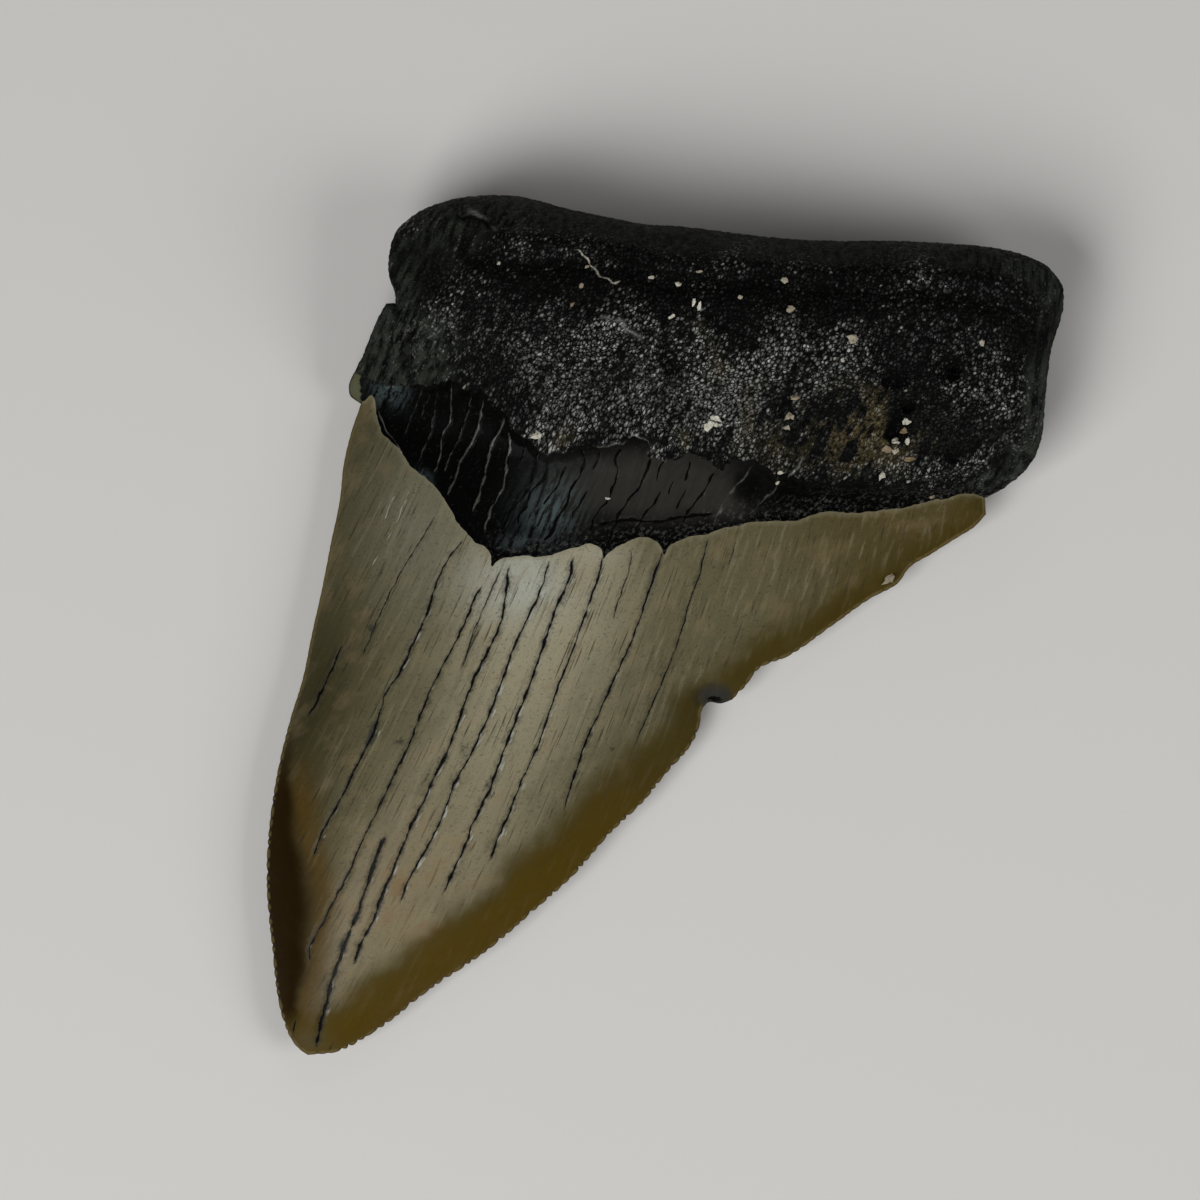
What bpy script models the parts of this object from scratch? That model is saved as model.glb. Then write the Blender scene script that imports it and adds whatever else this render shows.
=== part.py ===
"""Fossil megalodon tooth, a side tooth lying on its flat labial face with the swollen lingual face up.

Blender units are metres and +Z is up. The plan is drawn in millimetres, with +X to the right and +Y from
the tip of the crown towards the root; the tip lies down to the left. The tooth grew as one piece and is one
closed body: crown, bourlette (the dark band at the neck) and root.
"""

import math

import bmesh
import bpy
import numpy as np
from mathutils import Vector, noise
from mathutils.geometry import delaunay_2d_cdt

MM = 0.001
NAME = "megalodon_tooth"

# Middle of the outline's box, in the drawing's millimetres: it comes to the origin.
DRAWING_CENTRE = (-0.2, -0.15)

# Heights above the surface that the tooth lies on.
CUTTING_EDGE_Z = 2.2
ROOT_SIDE_Z = 6.6
LOWEST_Z = 0.0

# The straight line of the neck, and how far before and after it the rim climbs to the root's height.
NECK_LEFT = (-24.0, 19.0)
NECK_RIGHT = (25.0, 9.0)
NECK_RISE = (-4.0, 8.0)

# Crown: an almost flat labial face and a strongly domed lingual one.
CROWN_DOME = 12.0
CROWN_DOME_WIDTH = 38.0
CROWN_BELLY = 2.7
CROWN_BELLY_WIDTH = 14.0

# Root: fuller sides than the crown, rounded over towards its basal face.
ROOT_FULLNESS = 0.55
ROOT_ROUNDING = 6.0

# Underside of the root: it bulges a little lower than the surface it lies on, so that its middle is cut flat,
# and lifts towards both lobes.
UNDERSIDE_ROUNDING = 5.5
UNDERSIDE_BULGE = 0.25
UNDERSIDE_LIFT = 1.0
UNDERSIDE_HALF_LENGTH = 25.0
UNDERSIDE_MIDDLE_X = 2.0
UNDERSIDE_LUMPS = 0.3
UNDERSIDE_LUMP_SIZE = 6.8

# Swelling in the middle of the root's lingual face: middle, half size along X and along Y, height.
ROOT_SWELLING = ((1.0, 19.0), (13.0, 7.0), 1.3)

# Serrations of the cutting edges.
SERRATION_PITCH = 0.81
SERRATION_DEPTH = 0.26
SERRATION_FADE = 2.5

# Relief at the neck and on the root.
ENAMEL_STEP = 0.3
ENAMEL_STEP_WIDTH = 0.4
BOURLETTE_DIP = 0.35
ROOT_LIP = 0.45
ROOT_LIP_WIDTH = 0.4
ROOT_LIP_REACH = 5.0
RIDGE_LIP = 0.4
RIDGE_GROOVE = 0.55
ROOT_LUMPS = 0.42
ROOT_LUMP_SIZE = 3.4
LABIAL_STEP = 0.35
LABIAL_STEP_WIDTH = 0.6
LABIAL_STEP_REACH = 3.0

# Faint flutes along the crown: depth, width, length and the direction that they run in.
FLUTE_DEPTH = 0.07
FLUTE_WIDTH = 2.2
FLUTE_LENGTH = 14.0
FLUTE_ANGLE = math.radians(62.0)

# Spacing of the faces.
CROWN_SPACING = 1.35
ROOT_SPACING = 0.88
UNDERSIDE_SPACING = 1.7
OUTLINE_SPACING = 1.15
CREASE_SPACING = 0.6
SIDE_BACKING = 0.35
RIM_RING = 0.9
ROOT_RING = 2.0
UNDERSIDE_RING = 2.4
SHARP_ANGLE = math.radians(35.0)

# The outline, anticlockwise from the tip. Each stretch is a smooth curve through its points, and two
# stretches meet in a corner.
LOWER_RIGHT_EDGE = [
    (-26.9, -32.3), (-24.8, -32.1), (-21.9, -30.6), (-17.7, -27.4), (-13.3, -24.4), (-9.8, -21.4),
    (-7.0, -18.9), (-4.1, -15.6), (-1.6, -13.2), (0.1, -11.1), (1.7, -9.3), (2.3, -8.3), (2.6, -7.3),
]
CHIP_EDGE = [(2.6, -7.3), (2.7, -6.4), (3.2, -5.8), (4.1, -5.9), (5.0, -5.6)]
UPPER_RIGHT_EDGE = [
    (5.0, -5.6), (5.9, -4.7), (6.9, -3.4), (9.3, -2.3), (12.3, -0.2), (15.4, 2.0), (17.5, 3.2), (18.3, 4.3),
    (19.9, 5.3), (21.8, 6.5), (23.2, 7.4), (24.0, 8.3),
]
ENAMEL_END = [(24.0, 8.3), (23.9, 9.5)]
ROOT_RIGHT_SIDE = [
    (23.9, 9.5), (25.2, 10.2), (26.5, 11.2), (27.6, 12.7), (28.0, 14.2), (28.2, 16.8), (28.4, 18.8),
    (28.7, 20.8), (29.3, 22.6), (29.6, 23.9), (29.5, 25.3),
]
ROOT_BASE = [
    (29.5, 25.3), (28.5, 26.6), (26.5, 27.6), (24.3, 28.1), (21.1, 28.4), (16.8, 28.6), (12.0, 28.6),
    (7.3, 28.9), (4.1, 29.3), (0.7, 29.7), (-1.3, 29.8), (-3.5, 30.2), (-7.0, 30.9), (-11.0, 31.9),
    (-13.4, 32.0), (-16.3, 31.6), (-19.0, 30.4), (-20.2, 29.2), (-20.7, 27.5),
]
ROOT_LEFT_SIDE = [(-20.7, 27.5), (-20.7, 26.1), (-20.2, 24.5), (-20.2, 24.0)]
LEFT_LEDGE = [(-20.2, 24.0), (-20.9, 24.0)]
LEFT_SHOULDER = [(-20.9, 24.0), (-21.5, 23.0), (-22.0, 21.9), (-22.6, 20.4)]
FLAKE = [(-22.6, 20.4), (-23.3, 19.1), (-23.8, 17.8), (-23.7, 17.2), (-23.2, 16.8), (-22.9, 16.6)]
LEFT_EDGE = [
    (-22.9, 16.6), (-23.6, 14.6), (-24.2, 12.1), (-24.5, 9.4), (-25.2, 6.0), (-25.8, 2.9), (-26.6, -0.7),
    (-27.3, -4.1), (-28.2, -7.0), (-29.1, -10.6), (-29.7, -14.2), (-30.0, -18.0), (-29.9, -21.4),
    (-29.6, -24.1), (-29.2, -27.8), (-28.7, -29.9), (-28.1, -31.2), (-27.5, -31.9), (-26.9, -32.3),
]

# Lines on the lingual face, from left to right.
ENAMEL_LINE = [
    (-22.5, 15.9), (-21.8, 16.2), (-21.0, 14.3), (-19.6, 12.6), (-17.6, 10.2), (-15.7, 8.1), (-14.0, 6.1),
    (-12.8, 4.4), (-10.9, 5.0), (-7.2, 5.6), (-5.0, 5.9), (-0.9, 6.5), (-0.2, 5.8), (2.8, 6.7), (7.6, 7.7),
    (12.0, 8.2), (17.2, 8.8), (20.1, 9.3), (23.5, 9.6),
]
ROOT_LINE = [
    (-22.1, 18.6), (-20.0, 17.5), (-14.9, 17.7), (-12.5, 16.0), (-10.1, 13.6), (-6.1, 12.8), (-2.4, 13.3),
    (0.6, 12.6), (5.3, 12.1), (11.9, 11.3), (19.3, 11.2), (23.6, 10.6),
]
BASAL_RIDGE = [
    (-17.5, 30.0), (-13.6, 29.4), (-11.9, 28.6), (-7.9, 28.4), (-3.5, 27.7), (0.0, 26.8), (10.5, 26.3),
    (20.8, 26.0), (25.2, 25.1), (27.3, 23.8),
]
# Edge of the enamel on the labial face, from left to right.
LABIAL_ENAMEL_LINE = [
    (-22.6, 19.8), (-16.2, 16.9), (-8.0, 13.9), (1.1, 12.8), (11.6, 12.4), (19.9, 11.7), (23.8, 9.9),
]
# Corners well outside the tooth that close a line from left to right into the area below it or above it.
BELOW = [(50.0, 0.0), (50.0, -50.0), (-50.0, -50.0), (-50.0, 0.0)]
ABOVE = [(50.0, 30.0), (50.0, 50.0), (-50.0, 50.0), (-50.0, 30.0)]

# Pits in the root: middle, half length along X and along Y, depth.
ROOT_PITS = [
    ((14.9, 14.6), (4.2, 2.9), 1.0),
    ((16.8, 14.6), (0.9, 1.0), 1.5),
    ((17.4, 16.2), (0.8, 0.6), 1.2),
    ((16.6, 18.1), (1.1, 0.6), 0.9),
    ((20.9, 18.9), (0.9, 0.8), 0.9),
    ((21.3, 12.8), (1.3, 0.8), 0.9),
    ((25.0, 12.3), (1.2, 0.9), 0.9),
    ((0.2, 18.9), (0.7, 1.2), 0.8),
    ((8.4, 16.3), (0.6, 1.0), 0.7),
    ((-17.2, 26.2), (2.2, 1.6), 0.7),
]
# Hollow of the chip in the right edge: middle, half size, depth.
CHIP_HOLLOW = ((3.4, -4.9), (2.3, 1.5), 1.3)
# The least that the upper face stands over the rim.
THINNEST = 0.15

ENAMEL_COLOUR = (0.16, 0.14, 0.09)
BOURLETTE_COLOUR = (0.008, 0.008, 0.008)
ROOT_COLOUR = (0.022, 0.021, 0.019)
ENAMEL, BOURLETTE, ROOT = range(3)


def remove_all_objects():
    """Empties the scene."""
    for thing in list(bpy.data.objects):
        bpy.data.objects.remove(thing, do_unlink=True)


def smoothstep(low, high, value):
    """0 below low, 1 above high and a smooth rise between them."""
    share = np.clip((value - low) / (high - low), 0.0, 1.0)
    return share * share * (3.0 - 2.0 * share)


def length_along(curve):
    """Length from the start of a polyline to each of its points."""
    return np.concatenate([[0.0], np.cumsum(np.hypot(*np.diff(curve, axis=0).T))])


def evenly_spaced(curve, spacing):
    """A polyline read again at even steps of about the spacing, with its ends kept."""
    along = length_along(curve)
    steps = max(1, round(along[-1] / spacing))
    where = np.linspace(0.0, along[-1], steps + 1)
    return np.column_stack([np.interp(where, along, curve[:, axis]) for axis in (0, 1)])


def smooth_curve(points, spacing):
    """A smooth curve through the points, as an evenly spaced polyline."""
    points = np.asarray(points, float)
    if len(points) == 2:
        return evenly_spaced(points, spacing)
    knots = length_along(points)
    slopes = np.gradient(points, knots, axis=0)
    fine = []
    for start in range(len(points) - 1):
        span = knots[start + 1] - knots[start]
        t = np.linspace(0.0, 1.0, 24, endpoint=False)[:, None]
        fine.append(
            (2 * t**3 - 3 * t**2 + 1) * points[start]
            + (t**3 - 2 * t**2 + t) * span * slopes[start]
            + (3 * t**2 - 2 * t**3) * points[start + 1]
            + (t**3 - t**2) * span * slopes[start + 1]
        )
    return evenly_spaced(np.vstack([*fine, points[-1:]]), spacing)


def inward_normals(curve):
    """Unit normals to the left of a polyline, which is inwards on an anticlockwise outline."""
    tangent = np.gradient(curve, axis=0)
    tangent /= np.hypot(*tangent.T)[:, None]
    return np.column_stack([-tangent[:, 1], tangent[:, 0]])


class Stretch:
    """One smooth stretch of the outline, plain or cut into serrations, read anticlockwise."""

    def __init__(self, points, spacing, serrated=False, fade_start=False, fade_end=False):
        self.serrated = serrated
        self.fades = (fade_start, fade_end)
        self.curve = smooth_curve(points, spacing / 8)
        self.length = length_along(self.curve)[-1]
        self.steps = max(1, round(self.length / spacing))

    def divided(self, parts):
        """The curve read at even steps, with so many parts to each of its own steps."""
        return evenly_spaced(self.curve, self.length / (self.steps * parts))

    def outline(self):
        """Points of the outline: on a cutting edge, a notch and the two shoulders of a tooth in each step."""
        if not self.serrated:
            return self.divided(1)
        edge = self.divided(10)
        along = length_along(edge)
        depth = np.full(len(edge), SERRATION_DEPTH)
        if self.fades[0]:
            depth *= smoothstep(0.0, SERRATION_FADE, along)
        if self.fades[1]:
            depth *= smoothstep(0.0, SERRATION_FADE, self.length - along)
        notched = edge + inward_normals(edge) * depth[:, None]
        points = []
        for first in range(0, 10 * self.steps, 10):
            points += [notched[first], edge[first + 3], edge[first + 7]]
        return np.array([edge[0], *points[1:], edge[-1]])

    def backing(self):
        """A point just inside the middle of each step, which gives each tooth and each side its thickness."""
        halves = self.divided(2)
        depth = SERRATION_DEPTH if self.serrated else SIDE_BACKING
        return (halves + inward_normals(halves) * depth)[1::2]


def joined(stretches):
    """Stretches that meet end to end, as one polyline without doubled points."""
    return np.vstack([stretches[0], *[stretch[1:] for stretch in stretches[1:]]])


def outline_stretches():
    """The whole outline, anticlockwise from the tip."""
    return [
        Stretch(LOWER_RIGHT_EDGE, SERRATION_PITCH, serrated=True, fade_start=True),
        Stretch(CHIP_EDGE, 0.7),
        Stretch(UPPER_RIGHT_EDGE, SERRATION_PITCH, serrated=True, fade_end=True),
        Stretch(ENAMEL_END, 0.6),
        Stretch(ROOT_RIGHT_SIDE, OUTLINE_SPACING),
        Stretch(ROOT_BASE, OUTLINE_SPACING),
        Stretch(ROOT_LEFT_SIDE, OUTLINE_SPACING),
        Stretch(LEFT_LEDGE, 0.7),
        Stretch(LEFT_SHOULDER, OUTLINE_SPACING),
        Stretch(FLAKE, 0.8),
        Stretch(LEFT_EDGE, SERRATION_PITCH, serrated=True, fade_end=True),
    ]


def distance_to(points, line):
    """Distance in the plan from each point to a polyline."""
    start, step = line[:-1], np.diff(line, axis=0)
    share = ((points[:, None] - start) * step).sum(2) / (step * step).sum(1)
    gap = points[:, None] - (start + np.clip(share, 0.0, 1.0)[..., None] * step)
    return np.sqrt((gap * gap).sum(2)).min(1)


def inside(points, loop):
    """Whether each point lies inside a closed loop."""
    x, y = points[:, :1], points[:, 1:]
    ahead = np.roll(loop, -1, axis=0)
    crosses = (loop[:, 1] > y) != (ahead[:, 1] > y)
    rise = np.where(ahead[:, 1] == loop[:, 1], 1.0, ahead[:, 1] - loop[:, 1])
    reach = loop[:, 0] + (y - loop[:, 1]) * (ahead[:, 0] - loop[:, 0]) / rise
    return (crosses & (x < reach)).sum(1) % 2 == 1


def quarter_round(share):
    """Height of a quarter of a circle over its run from 0 to 1, and 1 after it."""
    return np.sqrt(1.0 - (1.0 - np.clip(share, 0.0, 1.0)) ** 2)


def bump(points, middle, half, height, steepness):
    """A soft oval bump around its middle, with steeper sides and a flatter top the higher the steepness."""
    return height * np.exp(-(((points - middle) / half) ** 2).sum(1) ** steepness)


def ripple(points, size, seed):
    """Soft lumps between -1 and 1, of about the given size, the same each time."""
    return np.array([noise.noise(Vector((x / size, y / size, seed))) for x, y in points])


class Plan:
    """The tooth seen from above, and the heights of its two faces over it, all in millimetres."""

    def __init__(self):
        stretches = outline_stretches()
        self.outline = joined([stretch.outline() for stretch in stretches])[:-1]
        self.backing = np.vstack([stretch.backing() for stretch in stretches])
        crown_right, root_right, base, root_left, crown_left = [
            joined([smooth_curve(stretch, 1.0) for stretch in side])
            for side in (
                [LOWER_RIGHT_EDGE, CHIP_EDGE, UPPER_RIGHT_EDGE, ENAMEL_END],
                [ROOT_RIGHT_SIDE],
                [ROOT_BASE],
                [ROOT_LEFT_SIDE, LEFT_LEDGE, LEFT_SHOULDER],
                [FLAKE, LEFT_EDGE],
            )
        ]
        self.right = joined([crown_right, root_right])
        self.left = joined([root_left, crown_left])
        self.base = base
        self.root_rim = joined([root_right, base, root_left])
        self.rim = joined([self.right, base, self.left])
        self.enamel_line = smooth_curve(ENAMEL_LINE, CREASE_SPACING)
        self.root_line = smooth_curve(ROOT_LINE, CREASE_SPACING)
        self.ridge = smooth_curve(BASAL_RIDGE, 1.5 * CREASE_SPACING)
        self.labial_line = smooth_curve(LABIAL_ENAMEL_LINE, 2.0 * CREASE_SPACING)
        self.crown_area = np.vstack([self.enamel_line, BELOW])
        self.root_area = np.vstack([self.root_line, ABOVE])
        self.labial_crown = np.vstack([self.labial_line, BELOW])

    def across(self, points):
        """Width of the tooth through each point, and a lens across it: 0 at both sides, 1 half way."""
        to_left = distance_to(points, self.left)
        to_right = distance_to(points, self.right)
        width = to_left + to_right + 1e-6
        return width, 4.0 * to_left * to_right / (width * width)

    def rootwards(self, points):
        """0 on the crown, 1 on the root, rising smoothly across the neck."""
        run = np.subtract(NECK_RIGHT, NECK_LEFT)
        up = np.array([-run[1], run[0]]) / np.hypot(*run)
        return smoothstep(*NECK_RISE, (points - NECK_LEFT) @ up)

    def edge_height(self, points):
        """Height of the rim next to each point: low at the cutting edges, half way up the root's sides."""
        return CUTTING_EDGE_Z + (ROOT_SIDE_Z - CUTTING_EDGE_Z) * self.rootwards(points)

    def regions(self, points):
        """Distances into the enamel and into the root from their lines, negative on the other side."""
        enamel = distance_to(points, self.enamel_line)
        root = distance_to(points, self.root_line)
        enamel = np.where(inside(points, self.crown_area), enamel, -enamel)
        root = np.where(inside(points, self.root_area), root, -root)
        return enamel, root

    def neck_relief(self, points):
        """The step off the enamel, the hollow bourlette and the lip where the root begins."""
        enamel, root = self.regions(points)
        off_enamel = smoothstep(0.0, ENAMEL_STEP_WIDTH, -enamel)
        on_root = smoothstep(-ROOT_LIP_WIDTH, 0.0, root)
        band = off_enamel * (1.0 - on_root)
        middle = np.clip(-enamel, 0.0, None) / (np.clip(-enamel, 0.0, None) + np.clip(-root, 0.0, None) + 0.01)
        hollow = BOURLETTE_DIP * 4.0 * middle * (1.0 - middle)
        lip = ROOT_LIP * np.exp(-np.clip(root, 0.0, None) / ROOT_LIP_REACH)
        from_rim = smoothstep(0.0, 1.0, distance_to(points, self.rim))
        return on_root * lip - from_rim * band * (ENAMEL_STEP + hollow)

    def ridge_relief(self, points):
        """The basal ridge of the root, with a shallow groove under it."""
        away = distance_to(points, self.ridge)
        below = away * np.where(points[:, 1] < np.interp(points[:, 0], *self.ridge.T), 1.0, -1.0)
        lip = RIDGE_LIP * np.exp(-((away / 0.7) ** 2))
        groove = RIDGE_GROOVE * np.exp(-(((below - 1.7) / 1.0) ** 2))
        return lip - groove

    def flutes(self, points):
        """Faint ups and downs of the enamel, long in the direction of the flutes."""
        along = np.array([math.cos(FLUTE_ANGLE), math.sin(FLUTE_ANGLE)])
        across = np.array([along[1], -along[0]])
        stretched = np.column_stack([points @ across / FLUTE_WIDTH, points @ along / FLUTE_LENGTH])
        return FLUTE_DEPTH * ripple(stretched, 1.0, 5.1)

    def lingual(self, points):
        """Height of the upper, lingual face."""
        width, lens = self.across(points)
        root = self.rootwards(points)
        dome = CROWN_DOME * (1.0 - np.exp(-width / CROWN_DOME_WIDTH))
        dome *= lens ** (1.0 - (1.0 - ROOT_FULLNESS) * root)
        dome *= quarter_round(distance_to(points, self.base) / ROOT_ROUNDING)
        inner = smoothstep(0.0, 2.0, distance_to(points, self.rim))
        relief = bump(points, *ROOT_SWELLING, 1.0) + self.ridge_relief(points)
        relief += ROOT_LUMPS * ripple(points, ROOT_LUMP_SIZE, 1.7)
        relief -= sum(bump(points, *pit, 1.5) for pit in ROOT_PITS)
        relief = inner * (root * relief + (1.0 - root) * self.flutes(points)) + self.neck_relief(points)
        height = dome + relief - bump(points, *CHIP_HOLLOW, 2.0)
        return self.edge_height(points) + np.maximum(height, THINNEST * inner)

    def labial(self, points):
        """Height of the lower, labial face, cut off flat where it meets the surface it lies on."""
        width, lens = self.across(points)
        edge = self.edge_height(points)
        to_rim = distance_to(points, self.rim)
        crown = CROWN_BELLY * (1.0 - np.exp(-width / CROWN_BELLY_WIDTH)) * lens**0.8
        lift = UNDERSIDE_LIFT * ((points[:, 0] - UNDERSIDE_MIDDLE_X) / UNDERSIDE_HALF_LENGTH) ** 2
        lift += UNDERSIDE_LUMPS * ripple(points, UNDERSIDE_LUMP_SIZE, 8.3)
        root = (edge + UNDERSIDE_BULGE - lift) * quarter_round(to_rim / UNDERSIDE_ROUNDING)
        past_enamel = distance_to(points, self.labial_line)
        past_enamel = np.where(inside(points, self.labial_crown), -past_enamel, past_enamel)
        share = smoothstep(-3.0, 4.0, past_enamel)
        step = LABIAL_STEP * smoothstep(0.0, LABIAL_STEP_WIDTH, past_enamel)
        step *= np.exp(-np.clip(past_enamel, 0.0, None) / LABIAL_STEP_REACH)
        fall = crown * (1.0 - share) + root * share - step * smoothstep(0.0, 1.5, to_rim)
        return np.maximum(edge - fall, LOWEST_Z)


def lattice(spacing):
    """Points of a triangular grid over the whole plan."""
    rows = np.arange(-34.0, 34.0, spacing * math.sqrt(0.75))
    columns = np.arange(-32.0, 32.0, spacing)
    return np.array([(x + spacing / 2 * (row % 2), y) for row, y in enumerate(rows) for x in columns])


def kept_clear(points, lines, gap):
    """The points that keep at least the gap from every line."""
    clear = np.ones(len(points), bool)
    for line in lines:
        clear &= distance_to(points, line) > gap
    return points[clear]


def inset(curve, depth, spacing):
    """A polyline moved inwards by the depth, evenly spaced again."""
    return evenly_spaced(curve + inward_normals(curve) * depth, spacing)


def face_mesh(outline, creases, loose):
    """Triangles in the plan, between the outline, along the creases and through the loose points."""
    points, edges = [*outline], []
    for crease in creases:
        first = len(points)
        points += [*crease]
        edges += [(first + i, first + i + 1) for i in range(len(crease) - 1)]
    points += [*loose]
    rim = len(outline)
    while True:
        found = delaunay_2d_cdt([Vector(point) for point in points], edges, [list(range(rim))], 1, 1e-5)
        # A triangle between three points of the outline would lie in both faces: it gets a point in its middle.
        flat = [face for face in found[2] if max(face) < rim]
        if not flat:
            return np.array([tuple(point) for point in found[0]]), found[2]
        points += [np.mean([points[index] for index in face], axis=0) for face in flat]


def lingual_mesh(plan):
    """Plan of the upper face: close points on the root, wider ones on the crown, crisp lines at the neck."""
    foot_of_step = plan.enamel_line + inward_normals(plan.enamel_line) * ENAMEL_STEP_WIDTH
    foot_of_lip = plan.root_line - inward_normals(plan.root_line) * ROOT_LIP_WIDTH
    creases = [plan.enamel_line, foot_of_step, plan.root_line, foot_of_lip, plan.ridge]
    creases = [kept_clear(crease, [plan.rim], RIM_RING) for crease in creases]
    rim_ring = inset(plan.rim, RIM_RING, 1.0)
    root_ring = inset(plan.root_rim, ROOT_RING, 1.1)
    crown = lattice(CROWN_SPACING)
    crown = crown[~inside(crown, plan.root_area)]
    root = lattice(ROOT_SPACING)
    root = root[inside(root, plan.root_area)]
    lines = [plan.rim, rim_ring, *creases]
    loose = np.vstack([
        plan.backing,
        kept_clear(rim_ring, creases, 0.5),
        kept_clear(root_ring, [*creases, rim_ring], 0.6),
        kept_clear(crown, lines, 0.75),
        kept_clear(root, [*lines, root_ring], 0.55),
    ])
    return face_mesh(plan.outline, creases, loose[inside(loose, plan.rim)])


def labial_mesh(plan):
    """Plan of the lower face, with a crisp line at the edge of the enamel."""
    foot_of_step = plan.labial_line + inward_normals(plan.labial_line) * LABIAL_STEP_WIDTH
    creases = [kept_clear(crease, [plan.rim], RIM_RING) for crease in (plan.labial_line, foot_of_step)]
    rim_ring = inset(plan.rim, RIM_RING, 1.1)
    inner_ring = inset(plan.rim, UNDERSIDE_RING, 1.6)
    loose = np.vstack([
        plan.backing,
        kept_clear(rim_ring, creases, 0.5),
        kept_clear(inner_ring, [*creases, rim_ring], 0.8),
        kept_clear(lattice(UNDERSIDE_SPACING), [plan.rim, rim_ring, inner_ring, *creases], 0.9),
    ])
    return face_mesh(plan.outline, creases, loose[inside(loose, plan.rim)])


def tooth_material(name, colour, roughness):
    """A plain coloured surface."""
    material = bpy.data.materials.new(name)
    material.use_nodes = True
    shader = material.node_tree.nodes["Principled BSDF"]
    shader.inputs["Base Color"].default_value = (*colour, 1.0)
    shader.inputs["Roughness"].default_value = roughness
    shader.inputs["Metallic"].default_value = 0.0
    return material


def add_points(mesh, points, heights):
    """Vertices over the points of the drawing, moved so that the outline's box has its middle at the origin."""
    placed = np.column_stack([points - DRAWING_CENTRE, heights]) * MM
    return [mesh.verts.new(place) for place in placed]


def add_lingual_face(mesh, plan):
    """The upper face, with its enamel, bourlette and root marked; returns the vertices of the rim."""
    points, faces = lingual_mesh(plan)
    rim = len(plan.outline)
    heights = plan.lingual(points)
    heights[:rim] = plan.edge_height(points[:rim])
    corners = add_points(mesh, points, heights)
    enamel, root = plan.regions(points)
    for face in faces:
        made = mesh.faces.new([corners[index] for index in face])
        if enamel[list(face)].mean() > 0:
            made.material_index = ENAMEL
        else:
            made.material_index = ROOT if root[list(face)].mean() > 0 else BOURLETTE
    return corners[:rim]


def add_labial_face(mesh, plan, rim):
    """The lower face, sewn to the upper one along the rim."""
    points, faces = labial_mesh(plan)
    inner = points[len(rim):]
    corners = rim + add_points(mesh, inner, plan.labial(inner))
    on_root = ~inside(points, plan.labial_crown)
    for face in faces:
        made = mesh.faces.new([corners[index] for index in reversed(face)])
        made.material_index = ROOT if on_root[list(face)].all() else ENAMEL


def build_tooth(collection):
    """The whole tooth as one closed mesh."""
    plan = Plan()
    mesh = bmesh.new()
    rim = add_lingual_face(mesh, plan)
    add_labial_face(mesh, plan, rim)
    data = bpy.data.meshes.new("tooth")
    mesh.to_mesh(data)
    mesh.free()
    data.shade_smooth()
    data.set_sharp_from_angle(angle=SHARP_ANGLE)
    data.materials.append(tooth_material("enamel", ENAMEL_COLOUR, 0.35))
    data.materials.append(tooth_material("bourlette", BOURLETTE_COLOUR, 0.3))
    data.materials.append(tooth_material("root", ROOT_COLOUR, 0.6))
    tooth = bpy.data.objects.new("tooth", data)
    collection.objects.link(tooth)
    return tooth


def main():
    """Builds the tooth in a collection of its own."""
    remove_all_objects()
    collection = bpy.data.collections.new(NAME)
    bpy.context.scene.collection.children.link(collection)
    build_tooth(collection)


main()
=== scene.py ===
"""Fossil megalodon tooth, lying on its labial face: its fine surface and its finishes.

The drawing is in millimetres, with +X to the right and +Y from the tip of the crown towards the root, as in
the solid model. The fine surface follows the same plan and the same heights, and adds what the solid is too
coarse for: cracks in the enamel, the ridges of the bourlette, the pebbled skin of the root and the grains
lodged in it.
"""

import logging
import math
from collections.abc import Callable
from dataclasses import dataclass, field
from enum import Enum

import bpy
import numpy as np
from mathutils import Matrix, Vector, noise
from mathutils.geometry import delaunay_2d_cdt
from mathutils.kdtree import KDTree


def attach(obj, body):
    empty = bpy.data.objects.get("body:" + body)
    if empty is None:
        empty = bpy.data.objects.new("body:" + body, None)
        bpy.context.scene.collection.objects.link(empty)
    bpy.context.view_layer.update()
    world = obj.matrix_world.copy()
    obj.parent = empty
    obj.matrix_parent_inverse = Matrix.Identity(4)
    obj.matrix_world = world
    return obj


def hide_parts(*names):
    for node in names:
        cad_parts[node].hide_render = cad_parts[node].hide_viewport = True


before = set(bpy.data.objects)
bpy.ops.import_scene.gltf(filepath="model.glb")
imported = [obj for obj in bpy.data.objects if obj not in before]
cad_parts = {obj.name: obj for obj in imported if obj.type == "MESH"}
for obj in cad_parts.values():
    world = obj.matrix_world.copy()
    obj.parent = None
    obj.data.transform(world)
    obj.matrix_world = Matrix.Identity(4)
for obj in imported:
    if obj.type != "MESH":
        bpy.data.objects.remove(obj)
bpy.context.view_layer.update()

log = logging.getLogger("tooth")

MM = 0.001
NODE, BODY, SLOT = "tooth", "root", "fossil_tooth"

Array = np.ndarray
Point = tuple[float, float]
Line = list[Point]
Triple = tuple[float, float, float]
Colour = Triple

# Middle of the outline's box, in the drawing's millimetres: it comes to the origin.
DRAWING_CENTRE = np.array([-0.2, -0.15])
# How far the drawing reaches from its own origin, to the sides and up and down.
HALF_WIDTH, HALF_LENGTH = 32.0, 34.0
# Steps between two points of a smooth curve, and points whose distances are worked out at a time.
CURVE_STEPS = 24
BLOCK = 8000
# Seed of the lattice, and the radius of a pebble as a share of the distance between two.
LATTICE_SEED = 11
PEBBLE_RADIUS = 0.62

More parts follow.
